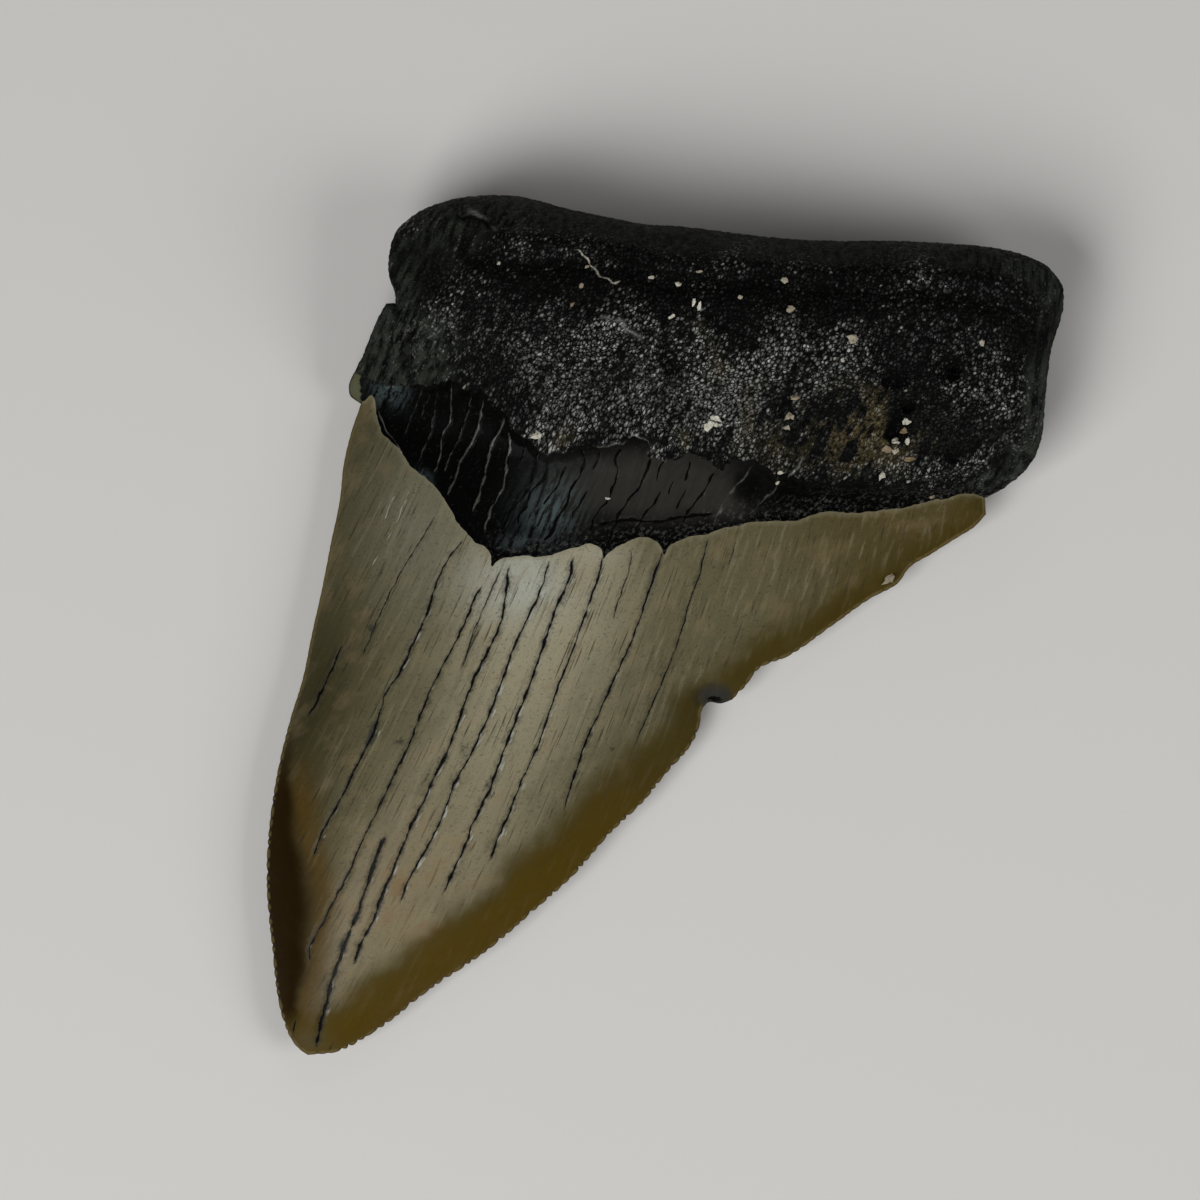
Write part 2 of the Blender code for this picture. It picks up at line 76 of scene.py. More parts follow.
# The outline, anticlockwise from the tip. Each stretch is a smooth curve through its points, and two
# stretches meet in a corner.
LOWER_RIGHT_EDGE = [
    (-26.9, -32.3), (-24.8, -32.1), (-21.9, -30.6), (-17.7, -27.4), (-13.3, -24.4), (-9.8, -21.4),
    (-7.0, -18.9), (-4.1, -15.6), (-1.6, -13.2), (0.1, -11.1), (1.7, -9.3), (2.3, -8.3), (2.6, -7.3),
]
CHIP_EDGE = [(2.6, -7.3), (2.7, -6.4), (3.2, -5.8), (4.1, -5.9), (5.0, -5.6)]
UPPER_RIGHT_EDGE = [
    (5.0, -5.6), (5.9, -4.7), (6.9, -3.4), (9.3, -2.3), (12.3, -0.2), (15.4, 2.0), (17.5, 3.2),
    (18.3, 4.3), (19.9, 5.3), (21.8, 6.5), (23.2, 7.4), (24.0, 8.3),
]
ENAMEL_END = [(24.0, 8.3), (23.9, 9.5)]
ROOT_RIGHT_SIDE = [
    (23.9, 9.5), (25.2, 10.2), (26.5, 11.2), (27.6, 12.7), (28.0, 14.2), (28.2, 16.8), (28.4, 18.8),
    (28.7, 20.8), (29.3, 22.6), (29.6, 23.9), (29.5, 25.3),
]
ROOT_BASE = [
    (29.5, 25.3), (28.5, 26.6), (26.5, 27.6), (24.3, 28.1), (21.1, 28.4), (16.8, 28.6), (12.0, 28.6),
    (7.3, 28.9), (4.1, 29.3), (0.7, 29.7), (-1.3, 29.8), (-3.5, 30.2), (-7.0, 30.9), (-11.0, 31.9),
    (-13.4, 32.0), (-16.3, 31.6), (-19.0, 30.4), (-20.2, 29.2), (-20.7, 27.5),
]
ROOT_LEFT_SIDE = [(-20.7, 27.5), (-20.7, 26.1), (-20.2, 24.5), (-20.2, 24.0)]
LEFT_LEDGE = [(-20.2, 24.0), (-20.9, 24.0)]
LEFT_SHOULDER = [(-20.9, 24.0), (-21.5, 23.0), (-22.0, 21.9), (-22.6, 20.4)]
FLAKE = [(-22.6, 20.4), (-23.3, 19.1), (-23.8, 17.8), (-23.7, 17.2), (-23.2, 16.8), (-22.9, 16.6)]
LEFT_EDGE = [
    (-22.9, 16.6), (-23.6, 14.6), (-24.2, 12.1), (-24.5, 9.4), (-25.2, 6.0), (-25.8, 2.9),
    (-26.6, -0.7), (-27.3, -4.1), (-28.2, -7.0), (-29.1, -10.6), (-29.7, -14.2), (-30.0, -18.0),
    (-29.9, -21.4), (-29.6, -24.1), (-29.2, -27.8), (-28.7, -29.9), (-28.1, -31.2), (-27.5, -31.9),
    (-26.9, -32.3),
]

# Lines on the lingual face, from left to right: the tongued edge of the enamel, the edge of the root over
# the bourlette, and the ridge along the root's base.
ENAMEL_LINE = [
    (-22.6, 16.8), (-22.1, 17.2), (-21.7, 16.1), (-21.3, 14.5), (-20.6, 13.8), (-20.0, 13.2),
    (-19.1, 11.8), (-17.9, 11.0), (-17.1, 10.1), (-16.2, 8.9), (-15.3, 7.4), (-14.2, 6.2), (-13.5, 5.9),
    (-13.05, 5.3), (-12.95, 4.4), (-12.6, 4.7), (-12.2, 4.9), (-10.8, 5.1), (-9.4, 5.1), (-8.3, 5.3),
    (-6.8, 5.8), (-5.3, 6.0), (-4.9, 5.7), (-4.7, 4.9), (-4.4, 5.3), (-3.2, 6.1), (-1.4, 6.5),
    (-0.7, 6.2), (-0.4, 5.8), (-0.2, 5.2), (0.2, 5.8), (1.8, 6.6), (3.1, 6.8), (4.1, 7.2), (5.1, 7.3),
    (6.6, 7.7), (8.2, 7.7), (9.8, 7.8), (11.1, 8.3), (14.1, 8.4), (16.7, 8.6), (18.3, 8.9), (20.0, 9.3),
    (21.5, 9.6), (23.0, 9.8), (23.7, 9.6),
]
ROOT_LINE = [
    (-22.2, 18.4), (-20.8, 18.0), (-19.4, 17.9), (-17.6, 18.0), (-16.3, 18.0), (-14.7, 17.2),
    (-13.4, 17.1), (-12.4, 15.8), (-11.6, 14.6), (-10.1, 13.7), (-9.0, 12.9), (-7.9, 12.7),
    (-6.8, 13.2), (-5.8, 13.3), (-4.8, 13.2), (-4.0, 13.3), (-3.4, 13.4), (-3.0, 13.7), (-2.4, 13.9),
    (-1.7, 13.8), (-1.3, 13.4), (-1.2, 12.6), (-0.1, 12.4), (1.7, 12.6), (2.9, 12.3), (3.7, 11.7),
    (5.0, 12.1), (6.5, 12.0), (7.3, 11.5), (8.4, 11.4), (9.5, 10.9), (10.6, 10.5), (12.1, 10.3),
    (13.6, 10.5), (15.9, 10.2), (19.7, 10.2), (23.6, 10.2),
]
BASAL_RIDGE = [
    (-18.9, 30.0), (-16.4, 29.9), (-14.2, 29.6), (-12.5, 28.6), (-7.9, 28.3), (-3.5, 28.0), (0.0, 26.9),
    (6.0, 26.7), (10.5, 26.3), (20.8, 26.0), (25.2, 25.1), (27.3, 23.8),
]
# Edge of the enamel on the labial face, from left to right.
LABIAL_ENAMEL_LINE = [
    (-22.6, 19.8), (-16.2, 16.9), (-8.0, 13.9), (1.1, 12.8), (11.6, 12.4), (19.9, 11.7), (23.8, 9.9),
]
# Corners well outside the tooth that close a line from left to right into the area below it or above it.
BELOW = [(50.0, 0.0), (50.0, -50.0), (-50.0, -50.0), (-50.0, 0.0)]
ABOVE = [(50.0, 8.0), (50.0, 50.0), (-50.0, 50.0), (-50.0, 30.0)]

# The grain of the tooth: its cracks run towards a far pole on the right, bending a little on the way.
FLOW_POLE = 51.4
FLOW_CURL = 0.007
FLOW_LEVEL = 7.0


def clamped(value: Array) -> Array:
    """Keeps values between 0 and 1."""
    return np.clip(value, 0.0, 1.0)


def smoothstep(low: float, high: float, value: Array) -> Array:
    """Turns values into a smooth rise from 0 at the low value to 1 at the high one."""
    share = clamped((value - low) / (high - low))
    return share * share * (3.0 - 2.0 * share)


def length_along(line: Array) -> Array:
    """Measures a polyline from its start to each of its points."""
    return np.concatenate([[0.0], np.cumsum(np.hypot(*np.diff(line, axis=0).T))])


def evenly_spaced(line: Array, spacing: float) -> Array:
    """Reads a polyline again at even steps, with its ends kept.

    Args:
        line: Its points.
        spacing: About the length of a step.

    Returns:
        The new points.
    """
    along = length_along(line)
    steps = max(1, round(along[-1] / spacing))
    where = np.linspace(0.0, along[-1], steps + 1)
    return np.column_stack([np.interp(where, along, line[:, axis]) for axis in (0, 1)])


def smooth_curve(points: Line, spacing: float) -> Array:
    """Draws a smooth curve through points.

    Args:
        points: Where it passes.
        spacing: About the distance between the points returned.

    Returns:
        The curve as an evenly spaced polyline.
    """
    points = np.asarray(points, float)
    if len(points) == 2:
        return evenly_spaced(points, spacing)
    knots = length_along(points)
    slopes = np.gradient(points, knots, axis=0)
    fine = []
    for start in range(len(points) - 1):
        span = knots[start + 1] - knots[start]
        t = np.linspace(0.0, 1.0, CURVE_STEPS, endpoint=False)[:, None]
        fine.append(
            (2 * t**3 - 3 * t**2 + 1) * points[start]
            + (t**3 - 2 * t**2 + t) * span * slopes[start]
            + (3 * t**2 - 2 * t**3) * points[start + 1]
            + (t**3 - t**2) * span * slopes[start + 1]
        )
    return evenly_spaced(np.vstack([*fine, points[-1:]]), spacing)


def left_normals(line: Array) -> Array:
    """Finds the unit normals on the left of a polyline.

    Args:
        line: Its points. On the anticlockwise outline, left is inwards.

    Returns:
        One normal for each point.
    """
    tangent = np.gradient(line, axis=0)
    tangent /= np.hypot(*tangent.T)[:, None]
    return np.column_stack([-tangent[:, 1], tangent[:, 0]])


def joined(lines: list[Array]) -> Array:
    """Joins polylines, each starting where the one before it ends, without doubled points."""
    return np.vstack([lines[0], *[line[1:] for line in lines[1:]]])


def inside(points: Array, loop: Array) -> Array:
    """Tells which points a closed loop holds.

    Args:
        points: Points of the plan.
        loop: Corners of the loop.

    Returns:
        True for each point inside.
    """
    x, y = points.T
    within = np.zeros(len(points), bool)
    for (x0, y0), (x1, y1) in zip(loop, np.roll(loop, -1, axis=0)):
        if y0 != y1:
            within ^= ((y0 > y) != (y1 > y)) & (x < x0 + (y - y0) * (x1 - x0) / (y1 - y0))
    return within


def bell(value: Array, width: float | Array) -> Array:
    """Gives 1 where the value is 0, falling off to both sides over the width."""
    return np.exp(-((value / width) ** 2))


def quarter_round(share: Array) -> Array:
    """Gives the height of a quarter of a circle over its run from 0 to 1, which stays 1 past the top."""
    return np.sqrt(1.0 - (1.0 - clamped(share)) ** 2)


def ripple(places: Array, size: float, seed: float) -> Array:
    """Gives soft lumps between -1 and 1, the same each time.

    Args:
        places: Points of the plan or of space.
        size: About the size of a lump.
        seed: Another number gives other lumps.

    Returns:
        The value at each point.
    """
    if places.shape[1] == 2:
        return np.array([noise.noise(Vector((x / size, y / size, seed))) for x, y in places])
    return np.array([noise.noise(Vector((x / size, y / size, z / size + seed))) for x, y, z in places])


def pebbles(places: Array, size: float) -> Array:
    """Gives bumps of a size that lie side by side in space, 1 on top of each and about 0 in the gaps."""
    nearest = np.array([noise.voronoi(Vector(place))[0][0] for place in places / size])
    return clamped(1.0 - (nearest / PEBBLE_RADIUS) ** 2)


def stretched(points: Array, angle: float, width: float, length: float) -> Array:
    """Turns and squeezes points, so that lumps read from them come out long in one direction.

    Args:
        points: Points of the plan.
        angle: That direction, from +X.
        width: Size of a lump across it.
        length: Size of a lump along it.

    Returns:
        The points in units of a lump.
    """
    along = np.array([math.cos(angle), math.sin(angle)])
    across = np.array([along[1], -along[0]])
    return np.column_stack([points @ across / width, points @ along / length])


def strayed(points: Array, reach: float, size: float, seeds: Point) -> Array:
    """Moves points by up to a reach in waves of a size, which makes the borders read from them uneven."""
    return points + reach * np.column_stack([ripple(points, size, seed) for seed in seeds])


def lattice(spacing: float, unevenness: float = 0.22) -> Array:
    """Fills the plan with points.

    Args:
        spacing: Distance between neighbours.
        unevenness: How far a point strays from its place, as a share of the spacing.

    Returns:
        Points of a triangular grid, each a little off its place.
    """
    rows = np.arange(-HALF_LENGTH, HALF_LENGTH, spacing * math.sqrt(0.75))
    columns = np.arange(-HALF_WIDTH, HALF_WIDTH, spacing)
    x, y = np.meshgrid(columns, rows)
    x = x + spacing / 2 * (np.arange(len(rows)) % 2)[:, None]
    points = np.column_stack([x.ravel(), y.ravel()])
    chance = np.random.default_rng(LATTICE_SEED)
    return points + chance.uniform(-1.0, 1.0, points.shape) * spacing * unevenness


def sorted_tree(points: Array) -> KDTree:
    """Sorts points of the plan into a tree, in which the nearest of them is looked up.

    Args:
        points: The points.

    Returns:
        The tree.
    """
    tree = KDTree(len(points))
    for index, (x, y) in enumerate(points):
        tree.insert((x, y, 0.0), index)
    tree.balance()
    return tree


def clear_of(lines: list[Array], points: Array, gap: float) -> Array:
    """Drops the points that come too close to a line.

    Args:
        lines: Lines to keep clear of.
        points: Points of the plan.
        gap: The least distance.

    Returns:
        The points that are left.
    """
    tree = sorted_tree(np.vstack(lines))
    away = np.array([tree.find((x, y, 0.0))[2] for x, y in points])
    return points[away > gap]


def new_object(name: str, data: bpy.types.ID) -> bpy.types.Object:
    """Puts a mesh, lamp or camera into the scene.

    Args:
        name: Name of its object.
        data: The mesh, lamp or camera.

    Returns:
        The object.
    """
    made = bpy.data.objects.new(name, data)
    bpy.context.collection.objects.link(made)
    return made


@dataclass(frozen=True)
class Nearest:
    """Where a line comes nearest to each of some points, with side 1 on its left and -1 on its right."""

    gap: Array
    along: Array
    foot: Array
    side: Array


class Trail:
    """A line of the drawing on which the nearest place to any point is looked up."""

    SOFT_SPACING = 0.35

    def __init__(self, line: Array) -> None:
        """Keeps the line, whose points lie close together."""
        self.line, self.along, self.tree = line, length_along(line), sorted_tree(line)

    def nearest(self, points: Array) -> Nearest:
        """Finds the nearest place on the line.

        Args:
            points: Points of the plan.

        Returns:
            For each point, its distance, how far along the line the place is, the place and the side.
        """
        near = np.array([self.tree.find((x, y, 0.0))[1] for x, y in points], int)
        gap = np.full(len(points), np.inf)
        along, side = np.zeros((2, len(points)))
        foot = np.zeros((len(points), 2))
        for offset in (-1, 0):
            first = np.clip(near + offset, 0, len(self.line) - 2)
            start = self.line[first]
            step = self.line[first + 1] - start
            share = clamped(((points - start) * step).sum(1) / (step * step).sum(1))
            place = start + share[:, None] * step
            away = np.hypot(*(points - place).T)
            nearer = away < gap
            gap[nearer] = away[nearer]
            foot[nearer] = place[nearer]
            along[nearer] = (self.along[first] + share * np.hypot(*step.T))[nearer]
            turned = step[:, 0] * (points - start)[:, 1] - step[:, 1] * (points - start)[:, 0]
            side[nearer] = np.sign(turned)[nearer]
        return Nearest(gap, along, foot, side)

    def soft_gap(self, points: Array) -> Array:
        """Gives the distance to the line, rounded off where the nearest place would jump.

        It is the power mean of the distances to all of the line, which is exact beside a straight line, and
        it turns into the true distance close to the line.

        Args:
            points: Points of the plan.

        Returns:
            The distance of each point.
        """
        line = evenly_spaced(self.line, self.SOFT_SPACING)
        step = length_along(line)[-1] / (len(line) - 1)
        soft = np.empty(len(points))
        for first in range(0, len(points), BLOCK):
            part = points[first:first + BLOCK, None] - line
            soft[first:first + BLOCK] = (step / np.maximum((part * part).sum(2), 1e-4) ** 3).sum(1)
        soft = (soft / (3.0 * math.pi / 8.0)) ** -0.2
        true = self.nearest(points).gap
        share = smoothstep(0.6, 3.0, true)
        return true * (1.0 - share) + soft * share


@dataclass
class Stretch:
    """One smooth stretch of the outline, plain or cut into serrations, read anticlockwise."""

    points: Line
    serrated: bool = False
    pitch: float = 0.81
    depth: float = 0.24
    fade_start: float = 0.0
    fade_end: float = 0.0
    wear_above: float = 40.0

    PARTS = 8
    SHARPNESS = 0.75
    PLAIN_SPACING = 0.16
    WEAR, WEAR_REACH = 0.8, 9.0

    def __post_init__(self) -> None:
        """Draws the stretch and divides it into whole serrations."""
        self.curve = smooth_curve(self.points, self.pitch / self.PARTS)
        self.length = length_along(self.curve)[-1]
        self.steps = max(1, round(self.length / self.pitch))
        self.trail = Trail(self.curve)

    def notch(self, along: Array, height: Array) -> Array:
        """Gives how deep the notches between the serrations are.

        Args:
            along: Places along the stretch.
            height: Their Y, because the edge is worn smooth towards the neck.

        Returns:
            Depth as a share of the full depth, 1 in a fresh notch.
        """
        stray = 0.16 * np.sin(1.7 * along) + 0.12 * np.sin(3.9 * along + 1.0)
        turn = np.abs(np.sin(math.pi * (along * self.steps / self.length + stray))) ** self.SHARPNESS
        depth = (1.0 - turn) * (0.72 + 0.28 * np.sin(2.3 * along + 0.7 * np.sin(0.9 * along)))
        if self.fade_start:
            depth *= smoothstep(0.0, self.fade_start, along)
        if self.fade_end:
            depth *= smoothstep(0.0, self.fade_end, self.length - along)
        worn = smoothstep(self.wear_above - self.WEAR_REACH, self.wear_above + self.WEAR_REACH, height)
        return depth * (1.0 - self.WEAR * worn)

    def outline(self) -> Array:
        """Gives the points of the outline along this stretch."""
        if not self.serrated:
            return evenly_spaced(self.curve, self.PLAIN_SPACING)
        edge = evenly_spaced(self.curve, self.length / (self.steps * self.PARTS))
        depth = self.depth * self.notch(length_along(edge), edge[:, 1])
        return edge + left_normals(edge) * depth[:, None]


@dataclass
class Survey:
    """What the drawing says of each of a set of points."""

    points: Array
    to_left: Array
    to_right: Array
    to_base: Array
    to_rim: Array
    rootwards: Array
    into_enamel: Array
    into_root: Array
    over_ridge: Array
    past_labial: Array
    width: Array = field(init=False)
    lens: Array = field(init=False)
    flow: Array = field(init=False)

    def __post_init__(self) -> None:
        """Works out the width across each point, the lens over it and its place in the grain."""
        self.width = self.to_left + self.to_right + 1e-6
        self.lens = 4.0 * self.to_left * self.to_right / self.width**2
        x, y = self.points.T
        across = FLOW_POLE + (x - FLOW_POLE) * np.exp(FLOW_CURL * (y - FLOW_LEVEL))
        self.flow = np.column_stack([across, y])


@dataclass
class Plan:
    """The tooth seen from above."""

    neck_left: Point = (-24.0, 19.0)
    neck_right: Point = (25.0, 9.0)
    neck_rise: Point = (-4.0, 8.0)
    wall: float = 3.6
    fineness: float = 0.2

    def __post_init__(self) -> None:
        """Draws the outline and the lines on both faces."""
        self.cutting_edges = [
            Stretch(LOWER_RIGHT_EDGE, serrated=True, fade_start=2.5, wear_above=-6.0),
            Stretch(UPPER_RIGHT_EDGE, serrated=True, fade_end=2.5, wear_above=-4.0),
            Stretch(LEFT_EDGE, serrated=True, depth=0.13, fade_end=2.5, wear_above=-10.0),
        ]
        lower_right, upper_right, left = self.cutting_edges
        sides = [Stretch(points) for points in (ROOT_RIGHT_SIDE, ROOT_BASE, ROOT_LEFT_SIDE)]
        corners = (CHIP_EDGE, ENAMEL_END, LEFT_LEDGE, LEFT_SHOULDER, FLAKE)
        chip, end, ledge, shoulder, flake = [Stretch(points) for points in corners]
        around = [lower_right, chip, upper_right, end, *sides, ledge, shoulder, flake, left]
        self.outline = joined([stretch.outline() for stretch in around])[:-1]
        fine = {id(stretch): smooth_curve(stretch.points, self.fineness) for stretch in around}
        crown_right = [fine[id(stretch)] for stretch in (lower_right, chip, upper_right, end)]
        root_right, base, root_left = [fine[id(stretch)] for stretch in sides]
        lobe = [root_left, fine[id(ledge)], fine[id(shoulder)]]
        crown_left = [fine[id(flake)], fine[id(left)]]
        self.right = Trail(joined([*crown_right, root_right]))
        self.left = Trail(joined([*lobe, *crown_left]))
        self.base = Trail(base)
        self.rim = Trail(joined([self.right.line, base, self.left.line]))
        self.root_rim = Trail(joined([root_right, base, root_left]))
        self.enamel_line = self._ragged(smooth_curve(ENAMEL_LINE, 0.11), 0.11)
        self.root_line = self._ragged(smooth_curve(ROOT_LINE, 0.13), 0.5)
        self.ridge = Trail(smooth_curve(BASAL_RIDGE, self.fineness))
        self.labial_line = smooth_curve(LABIAL_ENAMEL_LINE, 0.3)
        self.enamel_trail, self.root_trail = Trail(self.enamel_line), Trail(self.root_line)
        self.labial_trail = Trail(self.labial_line)

    def _ragged(self, line: Array, reach: float) -> Array:
        """Makes a line uneven.

        Args:
            line: Its points.
            reach: How far it strays.

        Returns:
            The uneven line, with its ends where they were.
        """
        stray = ripple(line, 0.9, 2.7) + 0.6 * ripple(line, 0.35, 6.1)
        ends = np.minimum(length_along(line), length_along(line)[-1] - length_along(line))
        return line + left_normals(line) * (reach * stray * smoothstep(0.0, 1.0, ends))[:, None]

    def rootwards(self, points: Array) -> Array:
        """Gives 0 on the crown and 1 on the root, rising smoothly across the neck.

        Args:
            points: Points of the plan.

        Returns:
            The value at each point.
        """
        run = np.subtract(self.neck_right, self.neck_left)
        up = np.array([-run[1], run[0]]) / np.hypot(*run)
        return smoothstep(*self.neck_rise, (points - self.neck_left) @ up)

    def survey(self, points: Array) -> Survey:
        """Looks up everything that the drawing says of points.

        Args:
            points: Points of the plan.

        Returns:
            The survey, from which the heights and the finishes are worked out.
        """
        enamel, root, labial, to_rim = [
            trail.nearest(points).gap
            for trail in (self.enamel_trail, self.root_trail, self.labial_trail, self.rim)
        ]
        to_left, to_right, to_base = [
            trail.soft_gap(points) for trail in (self.left, self.right, self.base)
        ]
        ridge = self.ridge.nearest(points)
        return Survey(
            points=points,
            to_left=to_left,
            to_right=to_right,
            to_base=to_base,
            to_rim=to_rim,
            rootwards=self.rootwards(points),
            into_enamel=np.where(inside(points, np.vstack([self.enamel_line, BELOW])), enamel, -enamel),
            into_root=np.where(inside(points, np.vstack([self.root_line, ABOVE])), root, -root),
            over_ridge=ridge.gap * np.where(points[:, 1] < ridge.foot[:, 1], -1.0, 1.0),
            past_labial=np.where(inside(points, np.vstack([self.labial_line, BELOW])), -labial, labial),
        )

    def rolled_up(self, points: Array) -> Array:
        """Takes points from the drawing with the root's round walls spread out flat to the true plan.

        Args:
            points: Points of the spread drawing.

        Returns:
            The same points in the plan, where those on the walls crowd towards the root's rim.
        """
        rim = self.root_rim.nearest(points)
        drawn_in = self.wall * (1.0 - np.cos(clamped(rim.gap / self.wall) * math.pi / 2))
        return self._shifted(points, rim, np.where(rim.gap < self.wall, drawn_in - rim.gap, 0.0))

    def spread_out(self, points: Array) -> Array:
        """Takes points from the true plan to the drawing with the root's round walls spread out flat.

        Args:
            points: Points of the plan.

        Returns:
            The same points in the spread drawing.
        """
        rim = self.root_rim.nearest(points)
        spread = self.wall * np.arccos(1.0 - clamped(rim.gap / self.wall)) / (math.pi / 2)
        return self._shifted(points, rim, np.where(rim.gap < self.wall, spread - rim.gap, 0.0))

    def _shifted(self, points: Array, rim: Nearest, shift: Array) -> Array:
        """Moves points by a shift away from the root's rim, less and less towards the crown."""
        outwards = (points - rim.foot) / np.maximum(rim.gap, 1e-9)[:, None]
        return points + outwards * (shift * self.rootwards(points))[:, None]


class Mark(Enum):
    """What a line on the tooth is."""

    CRACK = "crack"
    SHINE = "shine"
    VEIN = "vein"


@dataclass(frozen=True)
class Seam:
    """A line across a face: a crack sunk into it, or with a negative depth a ridge that stands on it."""

    points: Line
    half: float = 0.08
    depth: float = 0.1
    strength: float = 1.0
    mark: Mark = Mark.CRACK
    shine: float = 0.0

    def path(self, spacing: float, wobble: float) -> Array:
        """Draws the line with points at the spacing, straying to the side by the wobble."""
        line = smooth_curve(self.points, spacing)
        return line + left_normals(line) * wobble * ripple(line, 0.7, 4.0 + len(self.points))[:, None]


@dataclass
class Seams:
    """The lines of one part of the tooth, drawn out and ready to be measured from."""

    seams: list[Seam]
    spacing: float = 0.16
    wobble: float = 0.09
    taper: float = 0.9
    least: float = 0.065

    REACH = 4.0
    BLUR = 1.15
    GLINT_AT, GLINT_WIDTH = 1.25, 0.55

    def __post_init__(self) -> None:
        """Draws every line and works out where it swells and where it all but closes."""
        self.trails = [Trail(seam.path(self.spacing, self.wobble)) for seam in self.seams]
        self.lines = [trail.line for trail in self.trails]
        self.swell = [ripple(line, 0.8, 3.1) + 0.6 * ripple(line, 0.35, 8.4) for line in self.lines]

    def flanks(self) -> Array:
        """Gives points along both sides of every line, at the foot of its groove or ridge."""
        return np.vstack([
            trail.line + left_normals(trail.line) * side * self._half(number, trail.along)[:, None]
            for number, trail in enumerate(self.trails) for side in (-1.0, 1.0)
        ])

    def _half(self, number: int, along: Array) -> Array:
        """Gives the half width at places on a line, which swells and thins out."""
        swell = np.interp(along, self.trails[number].along, self.swell[number])
        return np.maximum(self.seams[number].half * (1.0 + 0.9 * swell), self.least)

    def _presence(self, number: int, along: Array) -> Array:
        """Gives how much of a line there is: it fades at both ends and comes and goes between them.

        Args:
            number: Which line.
            along: Places on it.

        Returns:
            A share between 0 and 1 at each place.
        """
        trail = self.trails[number]
        ends = smoothstep(0.0, self.taper, along) * smoothstep(0.0, self.taper, trail.along[-1] - along)
        return ends * np.clip(0.9 + 0.6 * np.interp(along, trail.along, self.swell[number]), 0.6, 1.0)

    def measure(self, points: Array) -> tuple[Array, dict[Mark, Array]]:
        """Works out the relief and the marks of the lines.

        Args:
            points: Points of the plan.

        Returns:
            Their relief, and for each mark how strongly it shows.
        """
        relief = np.zeros(len(points))
        marks = {mark: np.zeros(len(points)) for mark in Mark}
        for number, (seam, trail) in enumerate(zip(self.seams, self.trails)):
            reach = self.REACH * seam.half
            low, high = trail.line.min(0) - reach, trail.line.max(0) + reach
            chosen = np.flatnonzero(((points > low) & (points < high)).all(1))
            if not len(chosen):
                continue
            near = trail.nearest(points[chosen])
            half = self._half(number, near.along)
            present = self._presence(number, near.along)
            relief[chosen] -= seam.depth * present * clamped(1.0 - near.gap / half)
            line = clamped(seam.strength * present * clamped(self.BLUR - near.gap / half))
            marks[seam.mark][chosen] = np.maximum(marks[seam.mark][chosen], line)
            if seam.shine:
                lit = clamped(np.sin(3.1 * near.along + 9.0 * seam.half) + 0.55)
                edge = bell(near.gap - self.GLINT_AT * half, self.GLINT_WIDTH * half) * (near.side > 0)
                lit = seam.shine * lit * edge * present
                marks[Mark.SHINE][chosen] = np.maximum(marks[Mark.SHINE][chosen], lit)
        return relief, marks


@dataclass(frozen=True)
class Spot:
    """A soft oval place on the tooth, used for hollows, lumps and patches of colour."""

    middle: Point
    half: Point
    amount: float = 1.0
    turn: float = 0.0
    steepness: float = 1.0

    def at(self, points: Array) -> Array:
        """Gives the spot's amount, full in its middle and fading around it.

        Args:
            points: Points of the plan.

        Returns:
            The amount at each point.
        """
        away = points - self.middle
        cos, sin = math.cos(math.radians(self.turn)), math.sin(math.radians(self.turn))
        across = np.column_stack([away @ (cos, sin), away @ (-sin, cos)]) / self.half
        return self.amount * np.exp(-((across**2).sum(1) ** self.steepness))


def together(spots: list[Spot], points: Array) -> Array:
    """Adds up the amounts of spots at each point."""
    return sum((spot.at(points) for spot in spots), np.zeros(len(points)))


